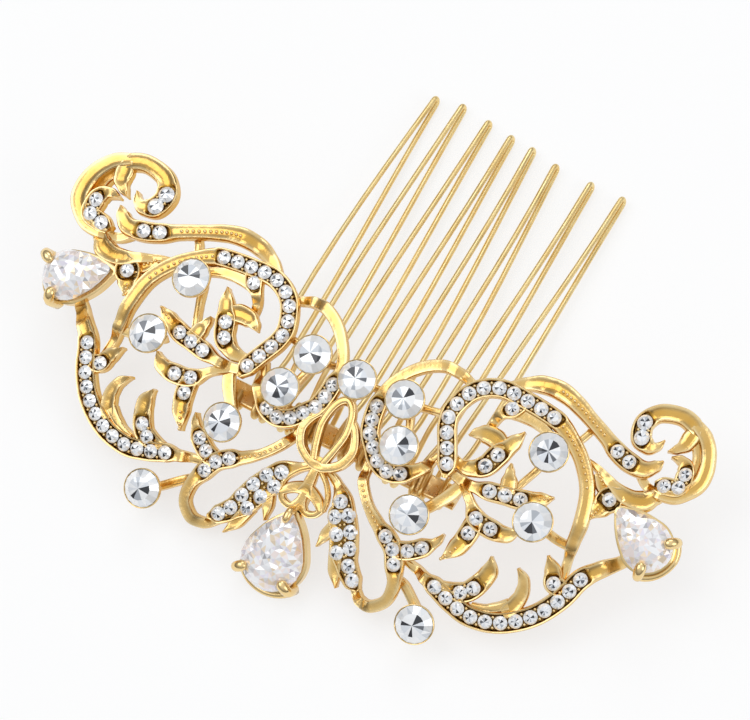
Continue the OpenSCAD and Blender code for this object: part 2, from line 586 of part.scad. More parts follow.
// Points once round the strip: down the front, under, up the back, over the top
function down_front() = [[wind_half, wind_off], [0, wind_off]];
function arc_turn(k) = 180 * k / arc_steps;
function under() = [
    for (k = [0:arc_steps]) [-wind_half - wind_off * sin(arc_turn(k)), wind_off * cos(arc_turn(k))]
];
function up_back() = [[0, -wind_off], [wind_half, -wind_off]];
function over_top() = [
    for (k = [1:arc_steps - 1]) [wind_half + wind_off * sin(arc_turn(k)), -wind_off * cos(arc_turn(k))]
];
function winding(from_x, to_x, loop) =
    let (s = reach_at(loop))
    [for (i = [0:len(loop) - 1]) [from_x + (to_x - from_x) * s[i] / s[len(s) - 1], loop[i].x, loop[i].y]];
full_loop = concat(down_front(), under(), up_back(), over_top(), down_front(), under(), up_back());
half_loop = concat([[0, wind_off]], under(), [[0, -wind_off]]);
turn_shift = (tine_pitch - leg_gap) / 3;
function up_tine(y) = (y - wind_half) / (tip_y - wind_half);
function leg_half(y) = (leg_gap + (tip_gap - leg_gap) * up_tine(y)) / 2;
function fan_x(i, y) = tine_x(i) * (1 + (tip_pitch / tine_pitch - 1) * up_tine(y));
function leg_point(i, side, y) =
    [fan_x(i, y) + side * leg_half(y), y, side * wind_off * (1 - ease(min((y - wind_half) / ease_len, 1)))];
leg_ys = concat(
    [for (k = [1:leg_steps]) wind_half + ease_len * k / leg_steps],
    [for (k = [1:leg_steps]) wind_half + ease_len + (tip_y - wind_half - ease_len) * k / leg_steps]
);
function hairpin(i) = concat(
    [for (y = leg_ys) leg_point(i, -1, y)],
    [for (k = [1:arc_steps - 1])
        let (a = arc_turn(k))
        [fan_x(i, tip_y) - tip_gap / 2 * cos(a), tip_y + tip_gap / 2 * sin(a), 0]],
    [for (k = [len(leg_ys) - 1:-1:0]) leg_point(i, 1, leg_ys[k])]
);
first_x = tine_x(0) - leg_gap / 2;
last_x = tine_x(tines - 1) + leg_gap / 2;
wire_points = concat(
    winding(first_x - turn_shift, first_x, half_loop),
    [[first_x, wind_half, -wind_off]],
    [for (i = [0:tines - 1]) each concat(
        hairpin(i),
        i < tines - 1 ? winding(tine_x(i) + leg_gap / 2, tine_x(i + 1) - leg_gap / 2, full_loop) : []
    )],
    [[last_x, wind_half, wind_off]],
    winding(last_x, last_x + turn_shift, half_loop)
);
wire_count = len(wire_points);
function wire_heading(i) = unit(wire_points[min(i + 1, wire_count - 1)] - wire_points[max(i - 1, 0)]);
function square_to(n, t) = unit(n - (n * t) * t);
wire_normals = [
    for (
        i = 0, n = square_to([1, 0, 0], wire_heading(0));
        i < wire_count;
        i = i + 1, n = i < wire_count ? square_to(n, wire_heading(i)) : n
    ) n
];
module comb_wire() gold() in_comb() skin([
    for (i = [0:wire_count - 1])
        let (n = wire_normals[i])
        let (b = cross(wire_heading(i), n))
        [for (k = [0:wire_sides - 1])
            wire_points[i] + wire_d / 2 * (n * cos(360 * k / wire_sides) + b * sin(360 * k / wire_sides))]
]);
wire_reach = reach_at(wire_points);
least_gap = min([
    for (i = [0:wire_count - 1]) for (j = [i + 1:wire_count - 1])
        if (wire_reach[j] - wire_reach[i] > 4 * wire_d) norm(wire_points[i] - wire_points[j])
]) - wire_d;
echo(least_gap_of_the_wire_to_itself = least_gap);

// The comb rests on the guard rail of the centre basket and on its tine tips
rest_foot = from_frame(centre_pear_frame, guard_point(centre_pear_w, 180));
rest_tip = from_comb([0, tip_y + tip_gap / 2, 0]);
rest_span = rest_tip - rest_foot;
rest_tilt = atan2(-rest_span.z, rest_span.y) + asin((wire_d / 2 - claw_r) / norm(rest_span));
function rest_up(p) = p.y * sin(rest_tilt) + p.z * cos(rest_tilt);
function rest_along(p) = p.y * cos(rest_tilt) - p.z * sin(rest_tilt);
rest_z = rest_up(rest_foot) - claw_r;
rest_y = (rest_along(rest_foot) - claw_r + rest_along(rest_tip) + wire_d / 2) / 2;

left_side() end_scroll();  // left_end_scroll
left_side() top_sweep();  // left_top_sweep
left_side() corner_leaf();  // left_corner_leaf
left_side() s_scroll();  // left_s_scroll
left_side() curled_leaf();  // left_curled_leaf
left_side() sprays();  // left_sprays
left_side() crescent();  // left_crescent
left_side() ribbon();  // left_ribbon
left_side() petal();  // left_petal
left_side() leaf_band();  // left_leaf_band
left_side() end_basket();  // left_end_basket
left_side() cups();  // left_cups
right_side() end_scroll();  // right_end_scroll
right_side() top_sweep();  // right_top_sweep
right_side() corner_leaf();  // right_corner_leaf
right_side() s_scroll();  // right_s_scroll
right_side() curled_leaf();  // right_curled_leaf
right_side() sprays();  // right_sprays
right_side() crescent();  // right_crescent
right_side() ribbon();  // right_ribbon
right_side() petal();  // right_petal
right_side() leaf_band();  // right_leaf_band
right_side() end_basket();  // right_end_basket
right_side() cups();  // right_cups
left_side() band_stones(end_scroll_bands);  // left_end_scroll_stones
left_side() band_stones(top_sweep_bands);  // left_top_sweep_stones
left_side() band_stones(corner_leaf_bands);  // left_corner_leaf_stone
left_side() band_stones(s_scroll_bands);  // left_s_scroll_stones
left_side() band_stones(curled_leaf_bands);  // left_curled_leaf_stones
left_side() band_stones(sprays_bands);  // left_sprays_stones
left_side() band_stones(crescent_bands);  // left_crescent_stones
left_side() band_stones(ribbon_bands);  // left_ribbon_stones
left_side() petal_stones();  // left_petal_stones
left_side() band_stones(leaf_band_bands);  // left_leaf_band_stones
left_side() round_stones();  // left_round_stones
left_side() end_pear_stone();  // left_pear_stone
right_side() band_stones(end_scroll_bands);  // right_end_scroll_stones
right_side() band_stones(top_sweep_bands);  // right_top_sweep_stones
right_side() band_stones(corner_leaf_bands);  // right_corner_leaf_stone
right_side() band_stones(s_scroll_bands);  // right_s_scroll_stones
right_side() band_stones(curled_leaf_bands);  // right_curled_leaf_stones
right_side() band_stones(sprays_bands);  // right_sprays_stones
right_side() band_stones(crescent_bands);  // right_crescent_stones
right_side() band_stones(ribbon_bands);  // right_ribbon_stones
right_side() petal_stones();  // right_petal_stones
right_side() band_stones(leaf_band_bands);  // right_leaf_band_stones
right_side() round_stones();  // right_round_stones
right_side() end_pear_stone();  // right_pear_stone
stand() bow();  // centre_bow
stand() centre_cup();
stand() centre_round_stone();
stand() centre_basket();
stand() centre_pear_stone();
stand() comb_strip();
stand() comb_wire();
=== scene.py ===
import math
import random

import bmesh
import bpy
from mathutils import Matrix, Vector, geometry


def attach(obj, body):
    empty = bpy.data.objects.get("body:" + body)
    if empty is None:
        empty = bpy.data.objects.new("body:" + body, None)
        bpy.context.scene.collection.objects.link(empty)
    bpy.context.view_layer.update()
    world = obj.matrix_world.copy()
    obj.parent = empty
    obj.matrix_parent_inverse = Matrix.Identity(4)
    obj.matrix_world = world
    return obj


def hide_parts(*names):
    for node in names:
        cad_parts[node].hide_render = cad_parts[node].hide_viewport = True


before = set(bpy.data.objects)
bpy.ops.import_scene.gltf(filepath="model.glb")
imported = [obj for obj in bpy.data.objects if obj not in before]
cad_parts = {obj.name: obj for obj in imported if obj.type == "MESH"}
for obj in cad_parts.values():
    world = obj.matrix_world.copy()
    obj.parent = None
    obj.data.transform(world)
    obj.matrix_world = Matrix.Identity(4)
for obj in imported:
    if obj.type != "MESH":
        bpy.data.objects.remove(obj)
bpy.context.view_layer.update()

# Base strip of the comb: a flat strip of gold-plated brass with rounded edges, rolled and cut to
# length. It carries the winding and is soldered to a lug behind each half of the ornament. The CAD
# solid has its true shape, so it stays and only takes a plating that is rubbed in places.
MM = 0.001
ROLLED_GOLD = (0.92, 0.7, 0.36, 1)
RUBBED = (0.95, 0.88, 0.76, 1)
FIRST_COLOUR, SECOND_COLOUR, MIXED_COLOUR = 6, 7, 2  # sockets of a node that mixes two colours
blotch_size = 2.5
rub_begins, rub_full = 0.35, 0.7
grain_low, grain_high = 0.3, 0.7
smoothest, roughest = 0.75, 1.35
grain_strength = 0.5


def put(node, values):
    """Puts values on a shader node's own sockets."""
    for socket, value in values.items():
        node.inputs[socket].default_value = value
    return node


def metal(name, colour, roughness, grain_size, grain_depth, detail=2):
    """Polished plating over a surface with a fine grain of the given size, in millimetres."""
    finish = bpy.data.materials.new(name)
    finish.use_nodes = True
    nodes, links = finish.node_tree.nodes, finish.node_tree.links
    shader = put(nodes["Principled BSDF"], {"Metallic": 1})
    place = nodes.new("ShaderNodeTexCoord")
    blotches = put(nodes.new("ShaderNodeTexNoise"), {"Scale": 1 / (blotch_size * MM), "Detail": 1})
    links.new(place.outputs["Object"], blotches.inputs["Vector"])
    rubbed = put(nodes.new("ShaderNodeMapRange"), {"From Min": rub_begins, "From Max": rub_full})
    links.new(blotches.outputs["Fac"], rubbed.inputs["Value"])
    plating = nodes.new("ShaderNodeMix")
    plating.name = "plating"
    plating.data_type = "RGBA"
    plating.blend_type = "MULTIPLY"
    put(plating, {FIRST_COLOUR: colour, SECOND_COLOUR: RUBBED})
    links.new(rubbed.outputs["Result"], plating.inputs["Factor"])
    links.new(plating.outputs[MIXED_COLOUR], shader.inputs["Base Color"])
    grain = put(nodes.new("ShaderNodeTexNoise"), {"Scale": 1 / (grain_size * MM), "Detail": detail})
    links.new(place.outputs["Object"], grain.inputs["Vector"])
    wear = put(nodes.new("ShaderNodeMapRange"), {
        "From Min": grain_low, "From Max": grain_high,
        "To Min": roughness * smoothest, "To Max": roughness * roughest,
    })
    links.new(grain.outputs["Fac"], wear.inputs["Value"])
    links.new(wear.outputs["Result"], shader.inputs["Roughness"])
    relief = {"Strength": grain_strength, "Distance": grain_depth * MM}
    bump = put(nodes.new("ShaderNodeBump"), relief)
    links.new(grain.outputs["Fac"], bump.inputs["Height"])
    links.new(bump.outputs["Normal"], shader.inputs["Normal"])
    return finish


strip_gold = metal(
    "rolled_gold_plate", ROLLED_GOLD, roughness=0.3, grain_size=0.6, grain_depth=0.02
)
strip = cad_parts["comb_strip"]
strip.data.materials.clear()
strip.data.materials.append(strip_gold)

# Comb wire: one hard-drawn gold-plated brass wire, bent by hand into eight hairpin tines and wound
# twice round the base strip between one tine and the next. It keeps the bends of the CAD wire, with
# the small leans of a comb that was handled, and ends half a turn past the last leg on each side.
WIRE_GOLD = (0.93, 0.74, 0.37, 1)
lean = math.radians(20.8939)
stand_back = 8.99036
stand_up = 14.6479
tines = 8
tine_pitch = 4.05
tip_pitch = 4.4
tine_len = 52
leg_gap = 1.9
leg_bow = 0.8
leg_sway = (3.8, 2.4, 1.6, 0.8, 0.6, 0.4, 0, 0)
tip_gap = 1.1
tip_turn = math.radians(74)
tip_lean = (-0.1, -0.6, -0.6, -1.1, -2.0, -2.3, -1.1, -0.6)
tip_reach = (1.3, 2, 1.4, 0.8, 0.5, -0.3, -0.5, -0.5)
tip_lift = 0.75
wire_d = 0.75
comb_angle = math.radians(27)
strip_w = 3.4
strip_t = 0.8
wind_fit = 0.1
strip_up = -8.5
strip_depth = -6.15484
wire_sides = 16
bend_steps = 9
leg_steps = 7
ease_len = 7
wind_off = strip_t / 2 + wind_fit + wire_d / 2
wind_half = strip_w / 2 - strip_t / 2
tip_y = tine_len - tip_gap / 2 - wire_d / 2
first_normal = (1, 0.01, 0)


def as_it_lies(x, y, z):
    """A point of the upright ornament, in millimetres, where it lies on the table, in metres."""
    return Vector((
        x,
        y * math.cos(lean) - z * math.sin(lean) - stand_back,
        y * math.sin(lean) + z * math.cos(lean) + stand_up,
    )) * MM


def ease(t):
    return t * t * (3 - 2 * t)


def mixed(a, b, t):
    return a + (b - a) * t


def on_comb(p):
    """A point of the comb's plane (along the strip, towards the tips, to the front) as it lies."""
    x, y, z = p
    return as_it_lies(
        x,
        strip_up + y * math.cos(comb_angle) + z * math.sin(comb_angle),
        strip_depth - y * math.sin(comb_angle) + z * math.cos(comb_angle),
    )


def tine_x(i):
    return (i - (tines - 1) / 2) * tine_pitch


def up_tine(y):
    return (y - wind_half) / (tip_y - wind_half)


def fan_x(i, y):
    return tine_x(i) * mixed(1, tip_pitch / tine_pitch, up_tine(y)) + tip_lean[i] * up_tine(y) ** 2


def half_turn(sense, first, last):
    """Points round an edge of the strip, from front to back (sense -1) or back to front (1)."""
    turns = [math.pi * k / bend_steps for k in range(first, last)]
    return [
        (sense * (wind_half + wind_off * math.sin(a)), -sense * wind_off * math.cos(a))
        for a in turns
    ]


down_front = [(wind_half, wind_off), (0, wind_off)]
under = half_turn(-1, 0, bend_steps + 1)
up_back = [(0, -wind_off), (wind_half, -wind_off)]
over_top = half_turn(1, 1, bend_steps)
full_loop = down_front + under + up_back + over_top + down_front + under + up_back
half_loop = [(0, wind_off)] + under + [(0, -wind_off)]


def reaches(line):
    """How far along a line each of its points lies."""
    reach = [0]
    for a, b in zip(line, line[1:]):
        reach.append(reach[-1] + math.dist(a[:2], b[:2]))
    return reach


def winding(from_x, to_x, loop):
    reach = reaches(loop)
    return [(mixed(from_x, to_x, s / reach[-1]), p[0], p[1]) for s, p in zip(reach, loop)]


def leg_point(i, side, y):
    """A point of one leg of a tine, which leaves the strip, bows out and turns edge-on."""
    t = up_tine(y)
    away = ease(min((y - wind_half) / ease_len, 1))
    bow = leg_bow * away * (1 - t)
    half = (mixed(leg_gap, tip_gap, t) + bow) / 2
    turn = tip_turn * ease(t)
    off = side * wind_off * (1 - away)
    along = y + tip_reach[i] * t
    lift = tip_lift * t ** 2
    sway = leg_sway[i] * t * (1 - t) if side < 0 else 0
    across = fan_x(i, y) + side * half * math.cos(turn) - sway
    return (across, along, off + lift - side * half * math.sin(turn))


leg_ys = [wind_half + ease_len * (k + 1) / leg_steps for k in range(leg_steps)]
leg_ys += [mixed(wind_half + ease_len, tip_y, (k + 1) / leg_steps) for k in range(leg_steps)]


def hairpin(i):
    bend = [math.pi * k / bend_steps for k in range(1, bend_steps)]
    tip = [
        (
            fan_x(i, tip_y) - tip_gap / 2 * math.cos(a) * math.cos(tip_turn),
            tip_y + tip_reach[i] + tip_gap / 2 * math.sin(a),
            tip_lift + tip_gap / 2 * math.cos(a) * math.sin(tip_turn),
        )
        for a in bend
    ]
    there = [leg_point(i, -1, y) for y in leg_ys]
    return there + tip + [leg_point(i, 1, y) for y in reversed(leg_ys)]


def skin(bm, rings):
    """Faces between each ring of points and the next."""
    for a, b in zip(rings, rings[1:]):
        for k in range(len(a)):
            n = (k + 1) % len(a)
            bm.faces.new(list(dict.fromkeys((a[k], a[n], b[n], b[k]))))


def tube(bm, path, radius, sides, swell=None):
    """A round rod along a path, with its ends closed. swell gives a radius for each point."""
    rings = []
    normal = Vector(first_normal)
    turns = [2 * math.pi * k / sides for k in range(sides)]
    for i, p in enumerate(path):
        way = (path[min(i + 1, len(path) - 1)] - path[max(i - 1, 0)]).normalized()
        normal = (normal - normal.dot(way) * way).normalized()
        beside = way.cross(normal)
        r = (swell[i] if swell else radius) * MM
        rings.append(
            [bm.verts.new(p + r * (normal * math.cos(a) + beside * math.sin(a))) for a in turns]
        )
    skin(bm, rings)
    bm.faces.new(list(reversed(rings[0])))
    bm.faces.new(rings[-1])


def finished(bm, name, finish, node, sharp_angle):
    """Turns a drawn piece into an object that stands for its CAD node and rides with it."""
    bmesh.ops.recalc_face_normals(bm, faces=bm.faces)
    mesh = bpy.data.meshes.new(name)
    bm.to_mesh(mesh)
    bm.free()
    mesh.shade_smooth()
    mesh.set_sharp_from_angle(angle=math.radians(sharp_angle))
    mesh.materials.append(finish)
    piece = bpy.data.objects.new(name, mesh)
    bpy.context.scene.collection.objects.link(piece)
    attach(piece, "root")
    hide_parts(node)
    return piece


turn_shift = (tine_pitch - leg_gap) / 3
first_x = tine_x(0) - leg_gap / 2
last_x = tine_x(tines - 1) + leg_gap / 2
wire_path = winding(first_x - turn_shift, first_x, half_loop) + [(first_x, wind_half, -wind_off)]
for i in range(tines):
    wire_path += hairpin(i)
    if i < tines - 1:
        wire_path += winding(tine_x(i) + leg_gap / 2, tine_x(i + 1) - leg_gap / 2, full_loop)
wire_path += [(last_x, wind_half, wind_off)] + winding(last_x, last_x + turn_shift, half_loop)

wire_gold = metal(
    "drawn_gold_wire", WIRE_GOLD, roughness=0.36, grain_size=5, grain_depth=0.004, detail=0
)
bm = bmesh.new()
tube(bm, [on_comb(p) for p in wire_path], wire_d / 2, wire_sides)
finished(bm, "wound_comb_wire", wire_gold, "comb_wire", sharp_angle=60)

# End scrolls: fat volutes that roll in from each end to a hooked leaf, with a groove along their
# back. They are cast in soft white metal, polished, gold plated and bent a little by hand. The
# channels that take their small stones have a painted shadow, nearly black, under the stones.
# Painted shade: the plating is painted a deep orange in the grooves and on the sides and back of
# each band, for shade and the gold's reflections of itself, and nearly black under the stones.
CAST_GOLD = (0.91, 0.7, 0.36, 1)
PAINTED_SHADE_GOLD = (0.73, 0.42, 0.07, 1)
PAINTED_SHADOW = (0.09, 0.05, 0.02, 1)
deep_at = 0.42
SIDES = (("left", -1), ("right", 1))
ornament_w = 97
ornament_h = 46
grid_squares = 46
arch_rise = 5.5
dome_rise = 2.5
middle_up = -8
band_t = 1.6
rim_w = 0.35
channel_d = 0.7
solder = 0.05
branch_step = 0.03
small_d = 1.84
small_gap = 0.1
stone_fit = 0.08
prong_r = 0.2
prong_out = 0.7
prong_low = 0.14
grid_u = ornament_w / 2 / grid_squares
grid_v = ornament_h / grid_squares
stone_r = small_d / 2
band_half = stone_r + stone_fit + rim_w
run_steps = 8
groove_share, flat_half, deepest_groove = 0.5, 0.74, 0.45
shaded_groove = 0.3
# A channel floor's depth, and how dark its painted shadow under the stones is.
CHANNEL_FLOOR_SHADE = (0.6, 0.9)  # depth and darkness of a channel's floor
channel_past, channel_fade = 0.5, 0.4
bead_proud = 0.15
row_slack = 0.2
hair = 1e-9
# How each side is bent, outwards and upwards: most, height where it begins and where it is full.
END_BEND = {-1: ((2, -14, 10), (-1.4, 14, -4)), 1: ((-1.4, -4, 4), (1.1, -20, -3))}
bend_from = 28
bend_span = 20.5
bend_power = 1.3
# A band is [points] or [points, first stone point, last stone point]. A point is [across, up, width]
# on the grid that half of the ornament is drawn on, with its level where it lies behind something.
end_scroll_bands = [
    [[[42.2, 12.3, 0.45, 0.4], [40.4, 13.5, 0.95, 0.02], [38.5, 13.95, 0.95], [35.9, 13.25, 1],
      [34.65, 11.3, 1.12], [35.2, 9.3, 1.12], [36.6, 8.6, 0.85], [37.6, 9, 0.5],
      [38.1, 10.1, 0.12]], 4, 5],
    [[[39.6, 4, 0.6, 0.2], [40.75, 4.45, 1], [42.6, 5, 1], [42.6, 6.9, 1], [42.1, 7.95, 0.85],
      [41.2, 8.5, 0.55], [39.9, 8.4, 0.12]], 1, 3],
    [[[37.2, 4.9, 0.5, 1], [38.6, 3.8, 0.5, 1], [40.7, 3.3, 0.65], [43, 3.9, 0.75], [44.7, 6, 0.92],
      [44.9, 8, 0.92], [44.2, 10.4, 0.86], [42.8, 12.4, 0.8, 0.02], [41, 13.55, 0.7, 0.1]]],
    [[[43.9, 6.4, 0.5, 0.7], [43.6, 8.6, 0.75, 0.6], [42.8, 10.6, 0.7, 0.5], [41.3, 12, 0.5, 0.4]]],
    [[[41.2, 13.3, 0.6, 0.1], [41, 11.8, 1], [40.8, 10.7, 0.9], [40.1, 9.7, 0.55],
      [39.1, 8.9, 0.1]]],
]


def face_frame(u, v):
    """Place, way across, way up and way out of the ornament's domed face, before it is laid."""
    half_w, half_h = ornament_w / 2, ornament_h / 2
    slope_u = 2 * arch_rise * u / half_w ** 2
    slope_v = 2 * dome_rise * (v - middle_up) / half_h ** 2
    fall = -arch_rise * (u / half_w) ** 2 - dome_rise * ((v - middle_up) / half_h) ** 2
    out = Vector((slope_u, slope_v, 1)).normalized()
    across = Vector((out.z, 0, -out.x)).normalized()
    return Vector((u, v, fall)), across, out.cross(across), out


def on_side(side, p):
    """A point of the half pattern on its own side. Each end is bent in its own way, by hand."""
    bent = max((p.x - bend_from) / bend_span, 0) ** bend_power
    out, up = (
        most * bent * min(max((p.y - none_at) / (full_at - none_at), 0), 1)
        for most, none_at, full_at in END_BEND[side]
    )
    return as_it_lies(side * (p.x + out), p.y + up, p.z)


def smooth_run(points):
    """A smooth line through the points of a band, in millimetres: (across, up, half, drop)."""
    step = band_t + solder
    knots = [
        (u * grid_u, v * grid_v, w * band_half, sum(level) * step) for u, v, w, *level in points
    ]
    line = []
    last = len(knots) - 1
    for n in range(last * run_steps + 1):
        i = min(n // run_steps, last - 1)
        t = n / run_steps - i
        a, b, c, d = knots[max(i - 1, 0)], knots[i], knots[i + 1], knots[min(i + 2, last)]
        u, v = (
            0.5 * (2 * b[k] + (c[k] - a[k]) * t + (2 * a[k] - 5 * b[k] + 4 * c[k] - d[k]) * t ** 2
                   + (3 * b[k] - a[k] - 3 * c[k] + d[k]) * t ** 3)
            for k in (0, 1)
        )
        line.append((u, v, mixed(b[2], c[2], ease(t)), mixed(b[3], c[3], ease(t))))
    return line


def heading(line, i):
    a, b = line[max(i - 1, 0)], line[min(i + 1, len(line) - 1)]
    return Vector((b[0] - a[0], b[1] - a[1], 0)).normalized()


def hollow(half):
    """How deep the back of a plain band is grooved. A narrow one is a little rounded instead."""
    return min(groove_share * (half - flat_half), deepest_groove)


def band_section(half, channel, floor_and_shade):
    """Half of a band's outline from back to front: (aside, height, painted shade). channel is 0
    where the band is plain and 1 where it takes stones. The painted shade is deep on the back and
    sides and in the groove, and nearly black on the channel floor under the stones."""
    groove = half - rim_w
    dip = hollow(half)
    deep = min(max(dip, 0) / shaded_groove, 1)
    floor, shade = floor_and_shade
    back = [
        (0, -band_t, deep_at), (0.72 * half, -band_t, deep_at), (0.93 * half, -0.9 * band_t, 0.45),
        (half, -0.62 * band_t, deep_at), (0.985 * half, -0.32 * band_t, 0.26),
    ]
    plain = [
        (0.93 * half, -0.13 * band_t, 0.05), (0.8 * half, -0.015, 0), (0.64 * half, -0.035, 0),
        (0.5 * half, -0.55 * dip, 0.1 + 0.1 * deep), (0.32 * half, -0.9 * dip, 0.15 + 0.17 * deep),
        (0.16 * half, -dip, 0.17 + 0.19 * deep), (0, -dip, 0.17 + 0.19 * deep),
    ]
    stone_bed = [
        (half - 0.05, -0.13 * band_t, 0.05), (half - 0.15, -0.015, 0), (groove + 0.05, -0.02, 0),
        (groove - 0.02, -0.1, 0.25), (groove - 0.12, -0.55 * floor, 0.8 * shade),
        (0.8 * groove, -0.92 * floor, shade), (0, -floor, shade),
    ]
    front = [[mixed(a, b, channel) for a, b in zip(p, q)] for p, q in zip(plain, stone_bed)]
    return back + front


def lay_band(bm, painted_shade, side, band, branch, floor_and_shade):
    """Sweeps a band's outline along its line. Each branch of a piece lies a little lower."""
    points, *row = band
    line = smooth_run(points)
    reach = reaches(line)
    cut = branch * branch_step
    rings = []
    for i, (u, v, half, drop) in enumerate(line):
        channel = 0
        if row:
            first, last = (reach[k * run_steps] for k in row)
            past = max(first - reach[i], reach[i] - last, 0)
            channel = ease(min(max((stone_r + channel_past - past) / channel_fade, 0), 1))
        place, across, up, out = face_frame(u, v)
        aside = out.cross(heading(line, i)).normalized()
        outline = band_section(half, channel, floor_and_shade)
        outline += [(-s, h, d) for s, h, d in outline[-2:0:-1]]
        ring = []
        for s, h, d in outline:
            p = place + aside * s + out * (h * (1 - 2 * cut / band_t) - cut - drop)
            vert = bm.verts.new(on_side(side, p))
            # Each point carries the painted shade of its place in the outline.
            vert[painted_shade] = d
            ring.append(vert)
        rings.append(ring)
    skin(bm, rings)
    bm.faces.new(rings[0])
    bm.faces.new(list(reversed(rings[-1])))


def lay_beads(bm, side, band, from_point, to_point, spacing, radius):
    """A row of tiny cast beads along the middle of a band."""
    line = smooth_run(band[0])[from_point * run_steps:to_point * run_steps + 1]
    gone = spacing
    for a, b in zip(line, line[1:]):
        gone += math.dist(a[:2], b[:2])
        if gone >= spacing:
            gone = 0
            place, across, up, out = face_frame(b[0], b[1])
            p = place + out * (bead_proud * radius - hollow(b[2]) - b[3])
            middle = Matrix.Translation(on_side(side, p))
            bmesh.ops.create_icosphere(bm, subdivisions=2, radius=radius * MM, matrix=middle)


def row_places(band):
    """Even places for the stones of a band's row, in millimetres."""
    points, first, last = band
    line = smooth_run(points)[first * run_steps:last * run_steps + 1]
    reach = reaches(line)
    count = math.floor(reach[-1] / (small_d + small_gap) + row_slack)
    if count == 0:
        return [line[0][:2]]
    places = []
    for k in range(count + 1):
        s = reach[-1] * k / count
        i = max(n for n in range(len(line) - 1) if reach[n] <= s + hair or n == 0)
        t = (s - reach[i]) / (reach[i + 1] - reach[i])
        places.append((mixed(line[i][0], line[i + 1][0], t), mixed(line[i][1], line[i + 1][1], t)))
    return places


def lay_prongs(bm, side, places):
    """Two tiny raised beads between each stone of a row and the next."""
    for a, b in zip(places, places[1:]):
        way = Vector((b[0] - a[0], b[1] - a[1])).normalized()
        for aside in (-prong_out, prong_out):
            u = (a[0] + b[0]) / 2 - way.y * aside
            v = (a[1] + b[1]) / 2 + way.x * aside
            place, across, up, out = face_frame(u, v)
            p = place - out * prong_low
            middle = Matrix.Translation(on_side(side, p))
            bmesh.ops.create_icosphere(bm, subdivisions=2, radius=prong_r * MM, matrix=middle)


def cast_gold_with_painted_shade():
    """Cast plating with painted shade: its plain colour where it stands proud, a painted deep orange
    shade in grooves and on the sides and back, and a painted shadow, nearly black, under stones.
    """
    finish = metal("cast_gold_painted_shade", CAST_GOLD, roughness=0.2, grain_size=0.8, grain_depth=0.08)
    nodes, links = finish.node_tree.nodes, finish.node_tree.links
    painted_shade = nodes.new("ShaderNodeAttribute")
    painted_shade.attribute_name = "painted_shade"
    tones = nodes.new("ShaderNodeValToRGB")
    tones.color_ramp.elements[0].color = CAST_GOLD
    tones.color_ramp.elements[1].color = PAINTED_SHADOW
    middle = tones.color_ramp.elements.new(deep_at)
    middle.color = PAINTED_SHADE_GOLD
    links.new(painted_shade.outputs["Fac"], tones.inputs["Fac"])
    links.new(tones.outputs["Color"], nodes["plating"].inputs[FIRST_COLOUR])
    return finish


cast_gold = cast_gold_with_painted_shade()


def cast(name, bands, side, node, beads=(), extra=None, floor_and_shade=CHANNEL_FLOOR_SHADE):
    """A cast piece of one or more bands. A row of beads is (band, from point, to point, spacing,
    radius), and extra draws what else is cast on."""
    bm = bmesh.new()
    painted_shade = bm.verts.layers.float.new("painted_shade")
    for branch, band in enumerate(bands):
        lay_band(bm, painted_shade, side, band, branch, floor_and_shade)
        if len(band) > 1 and floor_and_shade == CHANNEL_FLOOR_SHADE:
            lay_prongs(bm, side, row_places(band))
    for row in beads:
        lay_beads(bm, side, bands[row[0]], *row[1:])
    if extra:
        extra(bm, side)
    finished(bm, name, cast_gold, node, sharp_angle=48)


for word, side in SIDES:
    cast(word + "_volute", end_scroll_bands, side, word + "_end_scroll")

# Small stones: round flat-backed glass stones with a mirrored back, cut with a table and a ring of
# small facets, and glued into the channels in rows that fill them. Each facet is painted white,
# grey or black, as painted reflections of the room in sharp wedges.
small_h = 0.95
small_edge_low, small_edge_high = 0.4, 0.55
small_table = 0.6
glue = 0.06
shown_r = 0.965
curl_stone_r = 1.08
facets = 8
foot_share = 0.8
table_rise = 0.1
polish_size = 0.8
polish_rough = {"To Min": 0.03, "To Max": 0.12}
CRYSTAL_GLOSS = {"Metallic": 0.25, "IOR": 1.55, "Coat Weight": 0.6, "Coat Roughness": 0.02}
stone_sharp = 8
# Painted reflections: each facet is painted white, a grey or, on a few table wedges, black, for the
# room and the mirrored back seen in the cut glass.
WHITE = (0.94, 0.95, 0.97, 1)
PAINTED_CROWN_REFLECTIONS = [(0.98, 0.985, 0.99, 1)] * 7 + [(0.88, 0.91, 0.94, 1)] * 3 + [(0.66, 0.69, 0.73, 1)]
PAINTED_TABLE_REFLECTIONS = (
    [(0.98, 0.985, 0.99, 1)] * 5 + [(0.82, 0.85, 0.89, 1)] * 3 + [(0.46, 0.49, 0.53, 1)] * 2
    + [(0.14, 0.15, 0.17, 1)]
)
BLACK = (0.02, 0.022, 0.028, 1)
black_wedges = (0, 1, 6, 10)
dice = random.Random(11)


def crystal_finish():
    """Clear cut glass over a mirror: each facet shows its painted reflection, under a hard wet
    gloss.
    """
    finish = bpy.data.materials.new("mirror_backed_crystal")
    finish.use_nodes = True
    nodes, links = finish.node_tree.nodes, finish.node_tree.links
    shader = put(nodes["Principled BSDF"], CRYSTAL_GLOSS)
    painted_reflection = nodes.new("ShaderNodeVertexColor")
    painted_reflection.layer_name = "facet"
    links.new(painted_reflection.outputs["Color"], shader.inputs["Base Color"])
    polish = put(nodes.new("ShaderNodeTexNoise"), {"Scale": 1 / (polish_size * MM)})
    place = nodes.new("ShaderNodeTexCoord")
    links.new(place.outputs["Object"], polish.inputs["Vector"])
    gloss = put(nodes.new("ShaderNodeMapRange"), polish_rough)
    links.new(polish.outputs["Fac"], gloss.inputs["Value"])
    links.new(gloss.outputs["Result"], shader.inputs["Roughness"])
    return finish


crystal = crystal_finish()


def facet(bm, painted_reflection, verts, colour):
    face = bm.faces.new(verts)
    for corner in face.loops:
        corner[painted_reflection] = colour


